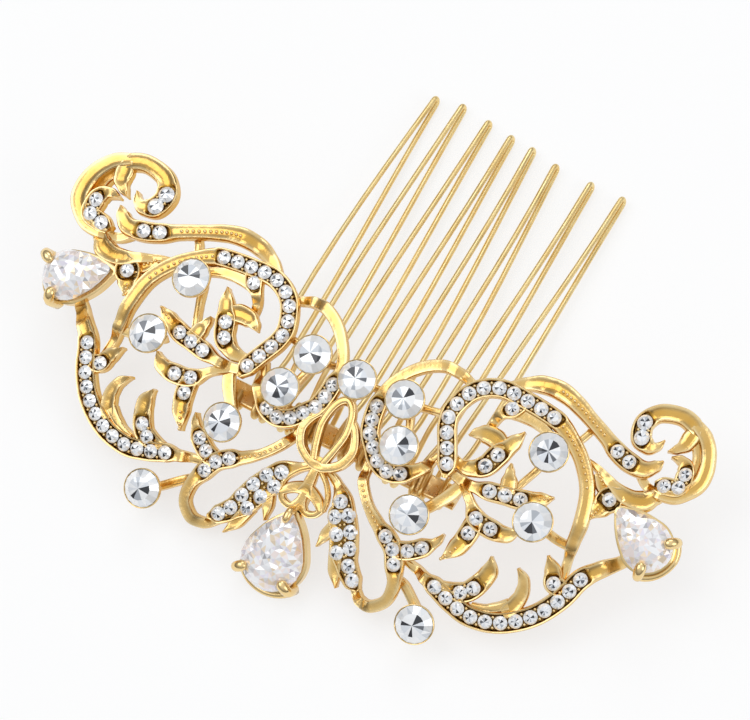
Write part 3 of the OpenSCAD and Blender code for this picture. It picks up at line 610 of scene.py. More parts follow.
def cut_stone(bm, painted_reflection, where, radius, base, edge_low, edge_high, top, table):
    """A round brilliant: a table of thin wedges, with kites and triangles down to its edge.
    where(aside, along, height) places a point of it."""
    turn = dice.uniform(0, math.pi / facets)

    def ring(count, r, height):
        turns = [turn + 2 * math.pi * k / count for k in range(count)]
        return [bm.verts.new(where(r * math.cos(a), r * math.sin(a), height)) for a in turns]

    foot = ring(2 * facets, radius * foot_share, base)
    low = ring(2 * facets, radius, edge_low)
    high = ring(2 * facets, radius, edge_high)
    brow = ring(2 * facets, radius * table, top)
    middle = bm.verts.new(where(0, 0, top + table_rise * radius))
    first_black = dice.randrange(2 * facets)
    blacks = black_wedges[:dice.randint(2, len(black_wedges))]
    black = [(first_black + k) % (2 * facets) for k in blacks]
    for k in range(2 * facets):
        n = (k + 1) % (2 * facets)
        facet(bm, painted_reflection, (foot[k], foot[n], low[n], low[k]), WHITE)
        facet(bm, painted_reflection, (low[k], low[n], high[n], high[k]), dice.choice(PAINTED_CROWN_REFLECTIONS))
        wedge = BLACK if k in black else dice.choice(PAINTED_TABLE_REFLECTIONS)
        facet(bm, painted_reflection, (brow[k], brow[n], middle), wedge)
        if k % 2:
            facet(bm, painted_reflection, (brow[k], high[k], high[n]), dice.choice(PAINTED_CROWN_REFLECTIONS))
            facet(bm, painted_reflection, (brow[k], high[n], brow[n]), dice.choice(PAINTED_CROWN_REFLECTIONS))
        else:
            facet(bm, painted_reflection, (brow[k], high[k], brow[n]), dice.choice(PAINTED_CROWN_REFLECTIONS))
            facet(bm, painted_reflection, (high[k], high[n], brow[n]), dice.choice(PAINTED_CROWN_REFLECTIONS))
    facet(bm, painted_reflection, list(reversed(foot)), WHITE)


def on_face(side, u, v):
    """Returns a placer for things that sit on the face of the ornament at (u, v) millimetres."""
    place, across, up, out = face_frame(u, v)

    def where(aside, along, height):
        return on_side(side, place + across * aside + up * along + out * height)

    return where


def small_stones(name, side, node, rows):
    """rows are (places, how far the channel floor lies lower, radius of the stones)."""
    bm = bmesh.new()
    painted_reflection = bm.loops.layers.float_color.new("facet")
    for places, cut, radius in rows:
        for u, v in places:
            floor = glue - channel_d - cut
            low, high = floor + small_edge_low * small_h, floor + small_edge_high * small_h
            cut_stone(bm, painted_reflection, on_face(side, u, v), radius, floor, low, high, floor + small_h,
                      small_table)
    finished(bm, name, crystal, node, stone_sharp)


def channel_stones(name, bands, side, node, first_r=shown_r):
    """The stones in every channel of a piece. Those of its first band may have their own radius."""
    rows = [
        (row_places(band), k * branch_step, shown_r if k else first_r)
        for k, band in enumerate(bands) if len(band) > 1
    ]
    small_stones(name, side, node, rows)


for word, side in SIDES:
    channel_stones(word + "_volute_stones", end_scroll_bands, side, word + "_end_scroll_stones",
                   curl_stone_r)

# Top sweeps: neck bands that leave the volutes and arch over to the middle, with two stones and then
# a stretch of tiny beads. They are cast in the same plated white metal and soldered behind the
# hoops, with a short strut at half their length.
top_sweep_bands = [
    [[[39.2, 7.5, 0.15], [38.6, 6.5, 0.7], [37.3, 5.5, 0.95], [35.2, 5.7, 1.05], [33.2, 6.4, 1],
      [31, 7.6, 0.8], [28.3, 8.9, 0.78], [25.6, 10.1, 0.9], [23.2, 10.7, 1, 0.1],
      [20.8, 10.6, 0.95, 0.6], [18.6, 9.7, 0.7, 1], [16.8, 8.2, 0.5, 1]], 3, 4],
    [[[29, 8.4, 0.5, 0.2], [28.6, 7.2, 0.4, 1], [27.8, 5.4, 0.4, 1]]],
]


def both_sides(name, stones, bands, node, beads=(), extra=None):
    """Casts a piece for each side and sets the stones in its channels."""
    for word, side in SIDES:
        cast(word + name, bands, side, word + node, beads, extra)
        channel_stones(word + stones, bands, side, word + node + "_stones")


both_sides("_neck_band", "_neck_stones", top_sweep_bands, "_top_sweep", [(0, 5, 8, 0.56, 0.26)])

# Corner leaves: a swollen lobe and a three-cornered leaf with one stone under each volute. They are
# cast in plated white metal with a grain of beads round the stone, and are soldered behind the
# volute and the S scroll.
corner_leaf_bands = [
    [[[41.6, 4, 0.4, 1], [40.3, 2.8, 0.8, 0.3], [39, 1.6, 1.1, 0.05], [36.8, 1.3, 0.95],
      [34.3, 2.2, 0.6], [32.3, 3.2, 0.45, 0.5], [30, 4, 0.3, 1]]],
    [[[36.2, 1.5, 0.9], [34.9, 0.1, 1.4], [34.2, -1.4, 1.1], [33.7, -3.1, 0.12]], 1, 1],
    [[[34.9, 0.9, 1, 0.25], [33.6, 1.6, 0.95, 0.3], [32.1, 2.9, 0.5, 0.4]]],
]
for word, side in SIDES:
    cast(word + "_lobe_leaf", corner_leaf_bands, side, word + "_corner_leaf",
         [(1, 2, 3, 0.45, 0.2), (2, 1, 2, 0.45, 0.22)])
    channel_stones(word + "_lobe_stone", corner_leaf_bands, side, word + "_corner_leaf_stone")

# S scrolls: the long rails that rise from the lower edge and turn over in a hoop of stones, with a
# ledge along the inside of the hoop. They are cast in plated white metal, and a stem cast on to each
# runs back under a raised cup.
s_scroll_bands = [
    [[[33.7, -12, 0.5, 1], [33.3, -9.4, 0.5, 1], [33, -7, 0.7, 0.3], [32.8, -4, 0.8],
      [31.9, 0, 0.82], [29.9, 3.1, 0.82], [27.6, 5.2, 0.82], [25.5, 6.5, 0.95], [24, 7.05, 1],
      [20.1, 7.5, 1], [16.4, 7.5, 1], [13.5, 5.7, 1], [12.1, 2.4, 1], [12.3, 0.2, 1], [13.3, -2, 1],
      [14.5, -4.6, 1], [15, -6.4, 0.3]], 8, 15],
    [[[19.4, 7, 1], [18.8, 5.75, 1], [17.8, 4.5, 0.62, 0.1], [17.4, 3.2, 0.5, 0.6],
      [17.4, 2, 0.35, 1]], 1, 1],
    [[[33, -7.6, 0.5, 0.6], [30.6, -7.4, 0.5, 1], [27.6, -6.5, 0.5, 1], [27, -6.1, 0.4, 1]]],
    [[[18.6, 5.3, 0.7, 0.25], [20.3, 5.5, 0.65, 0.22], [22.4, 5.45, 0.6, 0.22],
      [24.4, 4.85, 0.5, 0.22], [26.2, 3.95, 0.4, 0.3], [27.6, 3.4, 0.2, 0.4]]],
]
both_sides("_hoop_scroll", "_hoop_stones", s_scroll_bands, "_s_scroll", [(0, 4, 7, 0.6, 0.24)])

# Curled leaves: small leaves inside the hoops, with a beak and two stones each. They are cast in
# plated white metal, and a thin root is soldered behind the foot of the hoop.
curled_leaf_bands = [
    [[[21.6, 3.7, 0.12], [20.8, 1.6, 0.85], [19.8, -0.6, 1.15], [19, -2.6, 1.1],
      [17.3, -3.8, 0.85, 0.1], [15.6, -3.8, 0.55, 0.6], [14.2, -3.1, 0.4, 1]], 2, 3],
    [[[20.2, 0.6, 0.7, 0.15], [18.7, 1.2, 1.05], [17.2, 1.2, 0.95], [16.2, 0.8, 0.6],
      [15.4, 0.1, 0.1]]],
]
both_sides("_beak_leaf", "_beak_stones", curled_leaf_bands, "_curled_leaf")

# Sprays: two leafy branches on a trunk, with the stems of two raised stones, cast in one in plated
# white metal. A lug behind each trunk reaches back to the base strip and is soldered to it.
sprays_bands = [
    [[[28.5, -2.5, 0.15], [27, -3.5, 0.8], [24.8, -4.6, 1.05], [22.8, -5, 1], [20.9, -5.4, 1],
      [18.6, -5.8, 0.6, 0.2], [17, -5.8, 0.6, 1], [15, -5.3, 0.5, 1]], 2, 4],
    [[[22.9, -4.6, 0.9], [22.5, -3.1, 0.85], [22.1, -1.9, 0.5], [21.8, -0.8, 0.12]]],
    [[[26.4, -8.2, 0.15], [25.1, -9.6, 0.85], [23, -9.85, 1.05], [20.8, -9.4, 1],
      [19, -7.6, 0.5, 0.2], [17, -5.9, 0.5, 1]], 2, 3],
    [[[20.8, -9.6, 1], [20.7, -11.6, 1.05], [20.2, -13.8, 1], [18.9, -16.4, 0.12]], 1, 1],
    [[[23.2, -4.4, 0.4, 0.3], [23.9, -2.6, 0.4, 0.8], [24.8, -0.2, 0.4, 1], [25.6, 2.5, 0.5, 1],
      [26, 3, 0.4, 1]]],
    [[[17.2, -5.8, 0.6, 1], [16.4, -8, 0.7, 1], [14.9, -10.4, 0.6, 1], [13.4, -12.6, 0.5, 1],
      [13.2, -13.1, 0.4, 1]]],
]
lug_w = 1
lug_sides = 10
lug_swell = (0.62, 0.55, 0.5, 0.6)
strip_over = 2.4
trunk = (16.4, -8)
strip_half = (tines - 1) / 2 * tine_pitch + leg_gap / 2 + strip_over


def lug(bm, side):
    place, across, up, out = face_frame(trunk[0] * grid_u, trunk[1] * grid_v)
    top = place - out * (band_t + solder + band_t / 2)
    foot = (strip_half - lug_w / 2, -lug_w / 2, strip_t / 2 + solder)
    a = on_comb((side * foot[0], foot[1], foot[2]))
    b = on_comb((side * foot[0], foot[1], foot[2] + lug_w / 2))
    c = on_side(side, top)
    tube(bm, [a, b, (b + c) / 2, c], lug_w / 2, lug_sides, lug_swell)


both_sides("_leaf_sprays", "_spray_stones", sprays_bands, "_sprays",
           [(0, 0, 1, 0.5, 0.2), (3, 2, 3, 0.5, 0.24)], lug)

# Crescents: arcs either side of the middle, full of stones below and plain above, with the stems of
# two raised stones. They are cast in plated white metal, with both ends soldered behind a hoop.
crescent_bands = [
    [[[13.2, -3, 0.4, 1], [12.5, -4.8, 0.45, 1], [11.9, -6.6, 0.7], [9.7, -8.5, 1], [7.9, -9, 1],
      [6.2, -8.2, 1], [5, -6.8, 1], [3.9, -5.4, 1], [3.4, -3.6, 1], [3.2, -1.8, 1], [3.2, 0.6, 0.6],
      [4.3, 3.2, 0.6], [6.2, 5.5, 0.65], [8.5, 6.9, 0.65], [10.6, 7.1, 0.6, 0.6],
      [12.2, 6.7, 0.5, 1], [14, 5.8, 0.4, 1]], 3, 9],
    [[[12.2, 1.6, 0.4, 1], [9.5, 1, 0.4, 1], [6.6, 0.5, 0.5, 1], [5.2, 0.5, 0.4, 1],
      [3.4, 0.7, 0.4, 0.5]]],
    [[[6.6, 0.5, 0.5, 1], [7.8, -2.4, 0.4, 1], [8.5, -5.2, 0.5, 1], [8.8, -6.5, 0.45, 1],
      [9.2, -8, 0.4, 0.5]]],
]
both_sides("_stone_crescent", "_crescent_set", crescent_bands, "_crescent")

# Ribbon loops: ribbons that fall from the crescents, beaded along their first stretch, with a flame
# leaf and the stem of the lowest raised stone. They are cast in plated white metal and soldered
# behind the crescents and the petals.
ribbon_bands = [
    [[[5.2, -8.2, 0.4, 1], [5.2, -10, 0.5, 1], [5.8, -11.8, 0.55, 0.1], [7.6, -14.1, 0.55],
      [9.7, -15.8, 0.7], [11.4, -16.8, 1], [12.9, -18, 1], [13.8, -19.7, 1], [14.8, -22.2, 0.7],
      [14.7, -24.6, 0.65], [13.2, -26.2, 0.65], [11.6, -26.4, 0.6, 0.5], [10.4, -25.6, 0.5, 1],
      [9.4, -24.2, 0.4, 1]], 5, 7],
    [[[13, -18, 1], [14.7, -17.3, 1], [16.2, -16.1, 1], [17.5, -14.6, 0.5],
      [18, -13.2, 0.15]], 1, 2],
    [[[14.7, -21.4, 0.5, 0.3], [16.2, -22.2, 0.5, 1], [19.6, -25.1, 0.5, 1],
      [20.3, -25.4, 0.4, 1]]],
]
both_sides("_ribbon_loop", "_ribbon_set", ribbon_bands, "_ribbon", [(0, 2, 5, 0.5, 0.24)])

# Petals: broad leaves either side of the middle pear, each with two plain pointed lobes and two
# rows of glued stones that are held by tiny beads. They are cast in plated white metal, and the root
# of each is soldered behind the bow.
# Petal channels are shallower, with a painted shadow a little lighter under their stones.
PETAL_FLOOR_SHADE = (0.42, 0.86)
petal_bands = [
    [[[0.7, -12.6, 0.4, 1], [2.4, -13.5, 0.5, 1], [4.5, -15.3, 1.1], [5.2, -17, 1.47],
      [6.3, -18.9, 1.48], [7.2, -21, 1.48], [8.4, -22.8, 1.15], [9.8, -24.2, 1.02],
      [11, -25, 0.3]], 2, 7],
    [[[4.9, -18.4, 0.7, 0.05], [4.3, -20, 0.65], [3.8, -22.1, 0.12]]],
    [[[6.3, -21.4, 0.8, 0.05], [7.1, -23.8, 0.75], [8.2, -26, 0.12]]],
]
petal_stone_r = 1
petal_stone_places = [
    (4.3, -15.3), (4.4, -17.5), (5.5, -19.5), (6.5, -21.7),
    (6, -16.5), (7.1, -18.4), (7.9, -20.4), (8.6, -22.6), (9.8, -24.1),
]
petal_places = [(u * grid_u, v * grid_v) for u, v in petal_stone_places]
inner_row, outer_row = petal_places[:4], petal_places[4:]


def petal_prongs(bm, side):
    lay_prongs(bm, side, inner_row)
    lay_prongs(bm, side, outer_row)
    for pair in zip(inner_row, outer_row):
        lay_prongs(bm, side, pair)


for word, side in SIDES:
    cast(word + "_stone_petal", petal_bands, side, word + "_petal", (), petal_prongs, PETAL_FLOOR_SHADE)
    petal_row = (petal_places, 0, petal_stone_r)
    small_stones(word + "_petal_set", side, word + "_petal_stones", [petal_row])

# Leaf bands: the long lower edge, with its row of stones and three curling leaves. They are cast in
# plated white metal, and soldered behind the end baskets and the ribbon loops.
leaf_band_bands = [
    [[[40.4, -5.3, 0.5, 1], [39.3, -6.9, 0.7, 1], [37.4, -8.8, 0.9, 0.2], [35.8, -10.9, 1.08],
      [34.6, -14.3, 1.1], [32.3, -17.9, 1.1], [28.8, -20.6, 1.1], [25.2, -21.5, 1.1],
      [22.2, -20.9, 1.08], [19.7, -20, 1], [18, -19.6, 0.65, 0.1], [16.4, -19.2, 0.5, 1],
      [14.4, -18.8, 0.4, 1]], 3, 9],
    [[[34.4, -13, 0.9], [33, -12.8, 1.02], [32.2, -11.3, 0.85], [30.9, -9.7, 0.15]], 1, 1],
    [[[28.2, -12.9, 0.15], [29.5, -14.1, 0.6], [29.95, -15.8, 0.76], [29.75, -17.2, 0.85],
      [29.3, -18.4, 0.9], [28.8, -19.2, 0.6]]],
    [[[29, -17.8, 0.6], [27.7, -18.9, 0.5], [26.2, -19.7, 0.35], [24.8, -19.9, 0.2]]],
    [[[24.6, -13, 0.15], [25.1, -15.2, 0.95], [24.2, -17.9, 1.08], [22.9, -19.2, 1.05],
      [20.4, -19.4, 0.5]], 2, 3],
]
both_sides("_lower_band", "_lower_stones", leaf_band_bands, "_leaf_band")

# Bow: the middle piece, loops of ribbon drawn into a knot over a tapered column and a bell cap,
# cast in one in plated white metal. A tongue runs on under the middle pear's basket, a bar behind
# the crescents and a stem up to the middle cup, and each is soldered there.
middle_off = -0.5
bow_bands = [
    [[[-1.4, -5, 0.4, 0.2], [-2.9, -6.2, 0.48, 0.1], [-3.8, -8.6, 0.5], [-3, -10.9, 0.5],
      [-1.2, -12.2, 0.5], [0, -12.4, 0.6], [1.2, -12.2, 0.5], [2.8, -10.9, 0.52], [3.5, -8.6, 0.5],
      [2.6, -6.2, 0.45, 0.1], [1.4, -5, 0.4, 0.2]]],
    [[[-3.1, 0.6, 0.3, 1], [-1.8, 0.3, 0.4, 1], [0, 0.1, 0.4, 1], [1.8, 0.3, 0.4, 1],
      [3.1, 0.6, 0.3, 1]]],
    [[[0, -15.4, 0.4, 0.3], [0, -17, 0.4, 1], [0, -19, 0.4, 1], [0, -21.4, 0.4, 1]]],
    [[[-0.8, -11.8, 0.42], [-1.4, -9.6, 0.42], [-1.8, -6.8, 0.42], [-1.2, -4, 0.42],
      [0, -2.8, 0.42], [1.2, -4, 0.42], [1.7, -6.8, 0.42], [1.2, -9.6, 0.42], [0.6, -11.8, 0.42]]],
    [[[0, -11.2, 0.8], [0, -13.2, 0.5], [0, -15, 0.62], [0, -16.4, 1]]],
    [[[-2.9, -17.8, 0.35], [-1.8, -16.5, 0.6], [0, -15.9, 0.75], [1.8, -16.5, 0.6],
      [2.9, -17.8, 0.35]]],
    [[[-2.9, -17.5, 0.36], [-2.3, -18.5, 0.38], [-1.1, -18.8, 0.4], [-0.2, -17.8, 0.5],
      [0, -16.4, 0.5]]],
    [[[2.9, -17.5, 0.36], [2.3, -18.5, 0.38], [1.1, -18.8, 0.4], [0.2, -17.8, 0.5],
      [0, -16.4, 0.5]]],
    [[[-0.5, -12.8, 0.3, 0.1], [-2, -14.1, 0.27, 0.05], [-3, -15.8, 0.27], [-3.1, -17.6, 0.3]]],
    [[[0.5, -12.8, 0.3, 0.1], [2, -14.1, 0.27, 0.05], [3, -15.8, 0.27], [3.1, -17.6, 0.3]]],
    [[[0, -3.6, 0.4, 0.3], [0, -1.6, 0.4, 1], [0, 0.7, 0.6, 1]]],
]
set_bow = [[[[u + middle_off, *rest] for u, *rest in points]] for (points,) in bow_bands]
cast("middle_bow", set_bow, 1, "centre_bow")

# Raised cups: brass cups on short posts, turned on a lathe and gold plated. They are soldered to the
# stems by their posts, and a thin bright edge is burnished over each stone.
round_d = 4.7
round_crown = 0.9
round_back = 1.3
round_edge = 0.2
cup_wall = 0.3
cup_h = 2.2
cup_band = 0.5
cup_seat = 0.3
cup_lift = 0.35
post_d = 1.6
cup_sides = 40
cup_places = [
    (25.6, 2.5, 4), (27.6, -6.5, 2), (6.6, 0.5, 1),
    (8.5, -5.2, 2), (13.4, -12.6, 5), (19.6, -25.1, 2),
]
middle_cup_place = (0, 0.1, 1)
round_r = round_d / 2
cup_r = round_r + stone_fit + cup_wall
shown_round_r = 2.56
cup_top = cup_lift + cup_h
cup_gold = metal("turned_cup_gold", CAST_GOLD, roughness=0.16, grain_size=1.2, grain_depth=0.008)


def turned(bm, where, outline, sides):
    """A closed turned shape; the outline runs from the axis at the foot to the axis at the top."""
    rings = []
    for r, h in outline:
        if r == 0:
            rings.append([bm.verts.new(where(0, 0, h))] * sides)
        else:
            turns = [2 * math.pi * k / sides for k in range(sides)]
            rings.append([bm.verts.new(where(r * math.cos(a), r * math.sin(a), h)) for a in turns])
    skin(bm, rings)


def raised_cup(bm, side, place):
    foot = -band_t - place[2] * branch_step
    inside = shown_round_r
    outline = [
        (0, foot), (0.45 * post_d, foot), (post_d / 2, foot + 0.1), (post_d / 2, cup_lift - 0.15),
        (0.6 * post_d, cup_lift), (0.6 * cup_r, cup_lift + 0.03), (0.68 * cup_r, cup_lift + 0.12),
        (0.97 * cup_r, cup_top - cup_band - 0.08), (cup_r, cup_top - cup_band + 0.06),
        (cup_r, cup_top - 0.1), (cup_r - 0.03, cup_top - 0.03), (cup_r - 0.08, cup_top),
        (inside + 0.03, cup_top - 0.03), (inside, cup_top - 0.1), (inside, cup_top - cup_seat),
        (0, cup_top - cup_seat - round_back),
    ]
    turned(bm, on_face(side, place[0] * grid_u, place[1] * grid_v), outline, cup_sides)


def cup_set(name, side, places, node):
    bm = bmesh.new()
    for place in places:
        raised_cup(bm, side, place)
    finished(bm, name, cup_gold, node, sharp_angle=35)


for word, side in SIDES:
    cup_set(word + "_raised_cups", side, cup_places, word + "_cups")
cup_set("middle_cup", 1, [middle_cup_place], "centre_cup")

# Round stones: round crystal stones of the common large size, with a pointed, mirrored back, glued
# into the raised cups. Many of their wedges are painted dark, as painted reflections of the room.
round_table = 0.62
round_foot = 0.35


def round_set(name, side, places, node):
    bm = bmesh.new()
    painted_reflection = bm.loops.layers.float_color.new("facet")
    for place in places:
        where = on_face(side, place[0] * grid_u, place[1] * grid_v)
        seat = cup_top - cup_seat + glue
        cut_stone(bm, painted_reflection, where, shown_round_r, seat - round_foot, seat, seat + round_edge,
                  seat + round_edge + round_crown, round_table)
    finished(bm, name, crystal, node, stone_sharp)


for word, side in SIDES:
    round_set(word + "_round_set", side, cup_places, word + "_round_stones")
round_set("middle_round_stone", 1, [middle_cup_place], "centre_round_stone")

# Claw baskets: seats for the three pear stones, cast in white metal and gold plated. A rail runs
# under the stone, blunt claws are pressed over its edge, and a guard rail bows round the wide end
# from claw to claw.
centre_pear = (8.6, 11.2)
end_pear = (6.8, 9.6)
pear_crown = 1.6
pear_back = 2
pear_edge = 0.3
pear_tip_r = 0.7
pear_lift = 0.9
seat_w = 0.9
seat_inset = 0.3
seat_rim = 0.3
claw_d = 1.1
claw_turn = math.radians(125)
claw_sides = 14
side_claw, tip_claw = 1.3, 0.9
guard_out = 0.6
guard_steps = 16
guard_thick, guard_swell = 0.94, 0.1
basket_sharp = 50
end_pear_place = (41.5, -3.6)
end_pear_turn = math.radians(61)
centre_pear_place = (middle_off, -26.1)
tip_steps = 5
cheek_steps = 7
pear_cheek = 0.35
round_steps = 30
claw_r = claw_d / 2
basket_gold = metal("cast_basket_gold", CAST_GOLD, roughness=0.18, grain_size=0.9, grain_depth=0.04)


def turned_face(side, place, turn):
    """A placer like on_face, with its 'along' turned from straight up towards the middle."""
    flat = on_face(side, place[0] * grid_u, place[1] * grid_v)
    c, s = math.cos(turn), math.sin(turn)
    return lambda aside, along, height: flat(aside * c - along * s, aside * s + along * c, height)


def pear_reach(w, l):
    return l - w / 2 - pear_tip_r


def pear_outline(w, l, grow):
    """Points round a pear shape: its wide end is at the origin and its point is along."""
    slant = math.acos((w / 2 - pear_tip_r) / pear_reach(w, l))
    tip = [slant * k / tip_steps for k in range(-tip_steps, tip_steps + 1)]
    belly = [mixed(slant, 2 * math.pi - slant, k / round_steps) for k in range(1, round_steps)]
    tip_r, end_r = pear_tip_r + grow, w / 2 + grow
    point = [(-tip_r * math.sin(a), pear_reach(w, l) + tip_r * math.cos(a)) for a in tip]
    round_end = [(-end_r * math.sin(a), end_r * math.cos(a)) for a in belly]

    def cheek(a, b, sense):
        """Points between the ends of the two arcs, swollen a little outwards."""
        shares = [k / cheek_steps for k in range(1, cheek_steps)]
        swell = [pear_cheek * math.sin(math.pi * t) for t in shares]
        return [
            (mixed(a[0], b[0], t) - sense * math.sin(slant) * d,
             mixed(a[1], b[1], t) + math.cos(slant) * d)
            for t, d in zip(shares, swell)
        ]

    near, far = cheek(point[-1], round_end[0], 1), cheek(round_end[-1], point[0], -1)
    return point + near + round_end + far


def seat_top(w):
    return pear_lift - glue - pear_back * (seat_inset + seat_w) / (w / 2 - (w / 2 - pear_tip_r) / 3)


def claw(bm, where, foot, out, thick):
    """A claw from under the stone, up its side and over its edge, thicker towards its blunt tip."""
    clear = claw_r + stone_fit
    over = pear_lift + pear_edge + claw_d
    low = claw_r - band_t
    # Each spot is how far it stands out from the stone, its height and its share of thickness.
    spots = [
        (-(seat_inset + claw_r), low, 0.8), (clear * 0.6, low, 0.85), (clear, low + 0.35, 0.9),
        (clear, mixed(low, over, 0.55), 0.95), (clear * 0.95, over - claw_r, 1),
        (0.55 * clear, over - 0.1, 1.05), (-0.1, over + 0.2, 1.1), (-0.6, over + 0.32, 1.08),
        (-0.95, over + 0.34, 0.9), (-1.15, over + 0.34, 0.6), (-1.24, over + 0.33, 0.25),
    ]
    path = [where(foot[0] + out[0] * d, foot[1] + out[1] * d, h) for d, h, s in spots]
    tube(bm, path, claw_r, claw_sides, [claw_r * s * thick for d, h, s in spots])


def basket(bm, where, w, l):
    outer = pear_outline(w, l, seat_rim)
    inner = pear_outline(w, l, -seat_inset - seat_w)
    top, low = seat_top(w), -band_t
    # Round the rail's section: share of the way from its outer edge to its inner one, and height.
    section = [
        (0, low + 0.15), (0, top - 0.1), (0.12, top), (0.88, top),
        (1, top - 0.1), (1, low + 0.15), (0.85, low), (0.15, low),
    ]
    rings = [
        [bm.verts.new(where(mixed(a[0], b[0], s), mixed(a[1], b[1], s), h)) for s, h in section]
        for a, b in zip(outer, inner)
    ]
    skin(bm, rings + rings[:1])
    for turn in (-claw_turn, claw_turn):
        out = (math.sin(turn), math.cos(turn))
        claw(bm, where, (w / 2 * out[0], w / 2 * out[1]), out, side_claw)
    reach = w / 2 + guard_out
    shares = [k / guard_steps for k in range(guard_steps + 1)]
    turns = [mixed(claw_turn, 2 * math.pi - claw_turn, t) for t in shares]
    swell = [claw_r * (guard_thick - guard_swell * math.cos(math.pi * (2 * t - 1))) for t in shares]
    guard = [where(reach * math.sin(a), reach * math.cos(a), claw_r - band_t) for a in turns]
    tube(bm, guard, claw_r, claw_sides, swell)


for word, side in SIDES:
    bm = bmesh.new()
    basket(bm, turned_face(side, end_pear_place, end_pear_turn), *end_pear)
    finished(bm, word + "_claw_basket", basket_gold, word + "_end_basket",
             basket_sharp)
bm = bmesh.new()
middle_seat = turned_face(1, centre_pear_place, 0)
basket(bm, middle_seat, *centre_pear)
claw(bm, middle_seat, (0, pear_reach(*centre_pear) + pear_tip_r), (0, 1), tip_claw)
finished(bm, "middle_claw_basket", basket_gold, "centre_basket", basket_sharp)

# Pear stones: large clear drops of crystal with a domed crown of many small cut facets, held by the
# claws. Their facets are painted white, grey, faint pink, lilac and amber, as painted reflections
# of the room and of the plating round them.
PAINTED_PEAR_REFLECTIONS = (
    [(0.98, 0.98, 0.99, 1)] * 8 + [(0.9, 0.9, 0.92, 1)] * 3 + [(0.97, 0.86, 0.82, 1)] * 6
    + [(0.88, 0.84, 0.94, 1)] * 2 + [(0.96, 0.8, 0.6, 1)] * 3 + [(0.76, 0.74, 0.76, 1)] * 3
    + [(0.5, 0.5, 0.52, 1)]
)
ice_gap = 0.5
ice_tries = 3000
ice_jitter = 0.09
brow_w = 2.1
rim_share = 0.05
pear_sharp = 6
INSIDE_ONLY, weld = 1, 1e-5  # how the crown is cut into triangles


def pear_stone(name, side, place, turn, size, node):
    bm = bmesh.new()
    painted_reflection = bm.loops.layers.float_color.new("facet")
    where = turned_face(side, place, turn)
    w, l = size
    edge = [Vector(p) for p in pear_outline(w, l, 0)[::2]]
    inside = []
    for n in range(ice_tries):
        p = Vector((dice.uniform(-w / 2, w / 2), dice.uniform(-w / 2, l - w / 2)))
        angle = sum((a - p).angle_signed(b - p) for a, b in zip(edge, edge[1:] + edge[:1]))
        if abs(angle) > math.pi and min((p - q).length for q in edge + inside) > ice_gap:
            inside.append(p)
    brow = pear_lift + pear_edge
    count = len(edge)
    ring = [(k, (k + 1) % count) for k in range(count)]
    cut = geometry.delaunay_2d_cdt(edge + inside, ring, [list(range(count))], INSIDE_ONLY, weld)
    crown = []
    for p in cut[0]:
        deep = min(min((p - q).length for q in edge) / brow_w, 1)
        rise = pear_crown * (1 - (1 - deep) ** 2)
        if deep > rim_share:
            rise += dice.uniform(-ice_jitter, ice_jitter)
        crown.append(bm.verts.new(where(p.x, p.y, brow + rise)))
    for corners in cut[2]:
        facet(bm, painted_reflection, [crown[k] for k in corners], dice.choice(PAINTED_PEAR_REFLECTIONS))
    girdle = [bm.verts.new(where(p.x, p.y, pear_lift)) for p in edge]
    keel = bm.verts.new(where(0, pear_reach(w, l) / 3, pear_lift - pear_back))
    for k, n in ring:
        facet(bm, painted_reflection, (girdle[k], girdle[n], crown[n], crown[k]), WHITE)
        facet(bm, painted_reflection, (keel, girdle[n], girdle[k]), dice.choice(PAINTED_PEAR_REFLECTIONS))
    finished(bm, name, crystal, node, pear_sharp)


for word, side in SIDES:
    pear_stone(word + "_pear_drop", side, end_pear_place, end_pear_turn, end_pear,
               word + "_pear_stone")
pear_stone("middle_pear_drop", 1, centre_pear_place, 0, centre_pear, "centre_pear_stone")

# Table: a wide, loose sheet of white paper that the comb lies on. It is lit well enough to show
# nearly white, and in the gold as well, and still takes a faint shadow to the comb's right.
TABLE_WHITE = (0.97, 0.97, 0.97, 1)
GLOW_WHITE = (1, 1, 1, 1)
table_w = 3
paper_rough = 0.9
glow_share = 0.7
bpy.ops.mesh.primitive_plane_add(size=table_w)
table = bpy.context.object
table.name = "table"
paper = bpy.data.materials.new("white_paper")
paper.use_nodes = True
nodes, links = paper.node_tree.nodes, paper.node_tree.links
sheet = put(nodes["Principled BSDF"], {"Base Color": TABLE_WHITE, "Roughness": paper_rough})
glow = put(nodes.new("ShaderNodeEmission"), {"Color": GLOW_WHITE})
path = nodes.new("ShaderNodeLightPath")
seen = path.outputs["Is Camera Ray"]
for kind in ("Is Glossy Ray", "Is Transmission Ray"):
    either = nodes.new("ShaderNodeMath")
    either.operation = "MAXIMUM"
    links.new(seen, either.inputs[0])
    links.new(path.outputs[kind], either.inputs[1])
    seen = either.outputs[0]
share = put(nodes.new("ShaderNodeMath"), {1: glow_share})
share.operation = "MULTIPLY"
links.new(seen, share.inputs[0])
lit = nodes.new("ShaderNodeMixShader")
links.new(share.outputs[0], lit.inputs["Fac"])
links.new(sheet.outputs["BSDF"], lit.inputs[1])
links.new(glow.outputs["Emission"], lit.inputs[2])
links.new(lit.outputs["Shader"], nodes["Material Output"].inputs["Surface"])
table.data.materials.append(paper)

# Camera: a long lens above the comb, a little to the right of straight on, and rolled so that the
# comb lies across the picture. It is set in the ornament's own frame: yaw, pitch and roll.
image_w = 750
sensor_w = 36
near_clip = 0.01
yaw, pitch, roll = (math.radians(a) for a in (15, 1.5, 25.57))
aim = (0.534, 3.592)
px_per_mm = 7.546
camera_away = 700
scene = bpy.context.scene
rolled, pitched = Matrix.Rotation(-roll, 3, "Z"), Matrix.Rotation(pitch, 3, "X")
view = rolled @ pitched @ Matrix.Rotation(-yaw, 3, "Y")
origin = as_it_lies(0, 0, 0)


def laid_way(v):
    return (as_it_lies(*v) - origin).normalized()


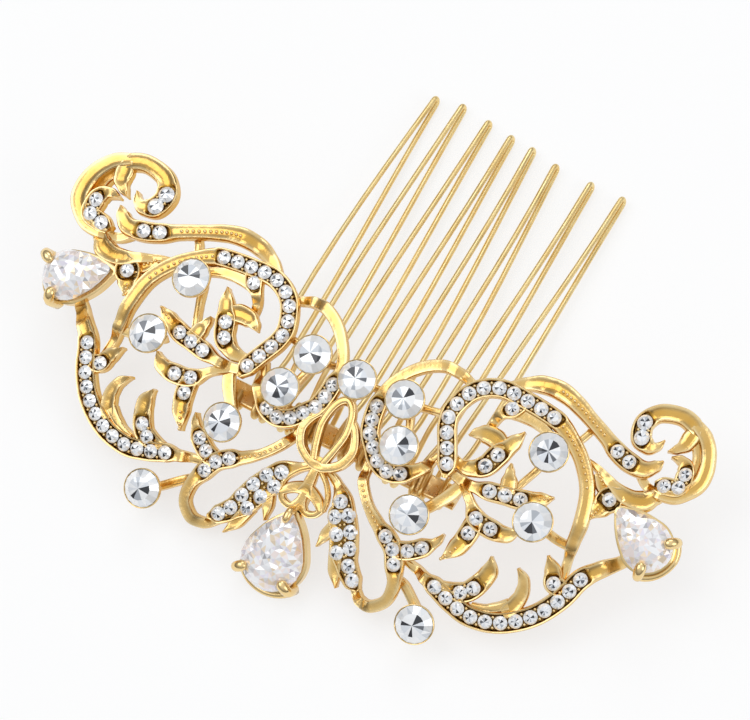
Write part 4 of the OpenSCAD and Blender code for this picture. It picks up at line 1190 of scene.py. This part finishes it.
right_way, up_way, back_way = (laid_way(view[k]) for k in range(3))
target = as_it_lies(aim[0], aim[1], 0)
lens = bpy.data.cameras.new("camera")
lens.sensor_fit = "HORIZONTAL"
lens.sensor_width = sensor_w
lens.lens = sensor_w * px_per_mm * camera_away / image_w
lens.clip_start = near_clip
camera = bpy.data.objects.new("camera", lens)
scene.collection.objects.link(camera)
facing = Matrix((right_way, up_way, back_way)).transposed().to_4x4()
camera.matrix_world = Matrix.Translation(target + back_way * camera_away * MM) @ facing
scene.camera = camera

# Light: a pale cloth tent round the table, brighter above than at its foot, with three square soft
# lamps on stands: one from the upper left, a weaker one from the right and a small one from behind.
TENT_FOOT = (0.16, 0.15, 0.14, 1)
TENT_TOP = (0.85, 0.87, 0.9, 1)
foot_at, top_at = 0.05, 0.95
scene.view_settings.view_transform = "Standard"
world = bpy.data.worlds.new("studio")
scene.world = world
world.use_nodes = True
nodes, links = world.node_tree.nodes, world.node_tree.links
sky = put(nodes["Background"], {"Strength": 1})
way = nodes.new("ShaderNodeTexCoord")
split = nodes.new("ShaderNodeSeparateXYZ")
links.new(way.outputs["Generated"], split.inputs["Vector"])
tent = nodes.new("ShaderNodeValToRGB")
tent.color_ramp.elements[0].position = foot_at
tent.color_ramp.elements[0].color = TENT_FOOT
tent.color_ramp.elements[1].position = top_at
tent.color_ramp.elements[1].color = TENT_TOP
links.new(split.outputs["Z"], tent.inputs["Fac"])
links.new(tent.outputs["Color"], sky.inputs["Color"])


def soft_light(name, right, up, back, size, power):
    """A square soft light, placed in metres from the comb as the camera sees it."""
    lamp = bpy.data.lights.new(name, "AREA")
    lamp.size = size
    lamp.energy = power
    holder = bpy.data.objects.new(name, lamp)
    scene.collection.objects.link(holder)
    holder.location = target + right_way * right + up_way * up + back_way * back
    holder.rotation_euler = (target - holder.location).to_track_quat("-Z", "Y").to_euler()


soft_light("key_light", right=-0.45, up=0.35, back=0.55, size=0.6, power=1.5)
soft_light("fill_light", right=0.55, up=-0.1, back=0.5, size=0.45, power=1)
soft_light("back_light", right=0.1, up=0.7, back=0.25, size=0.35, power=0.7)
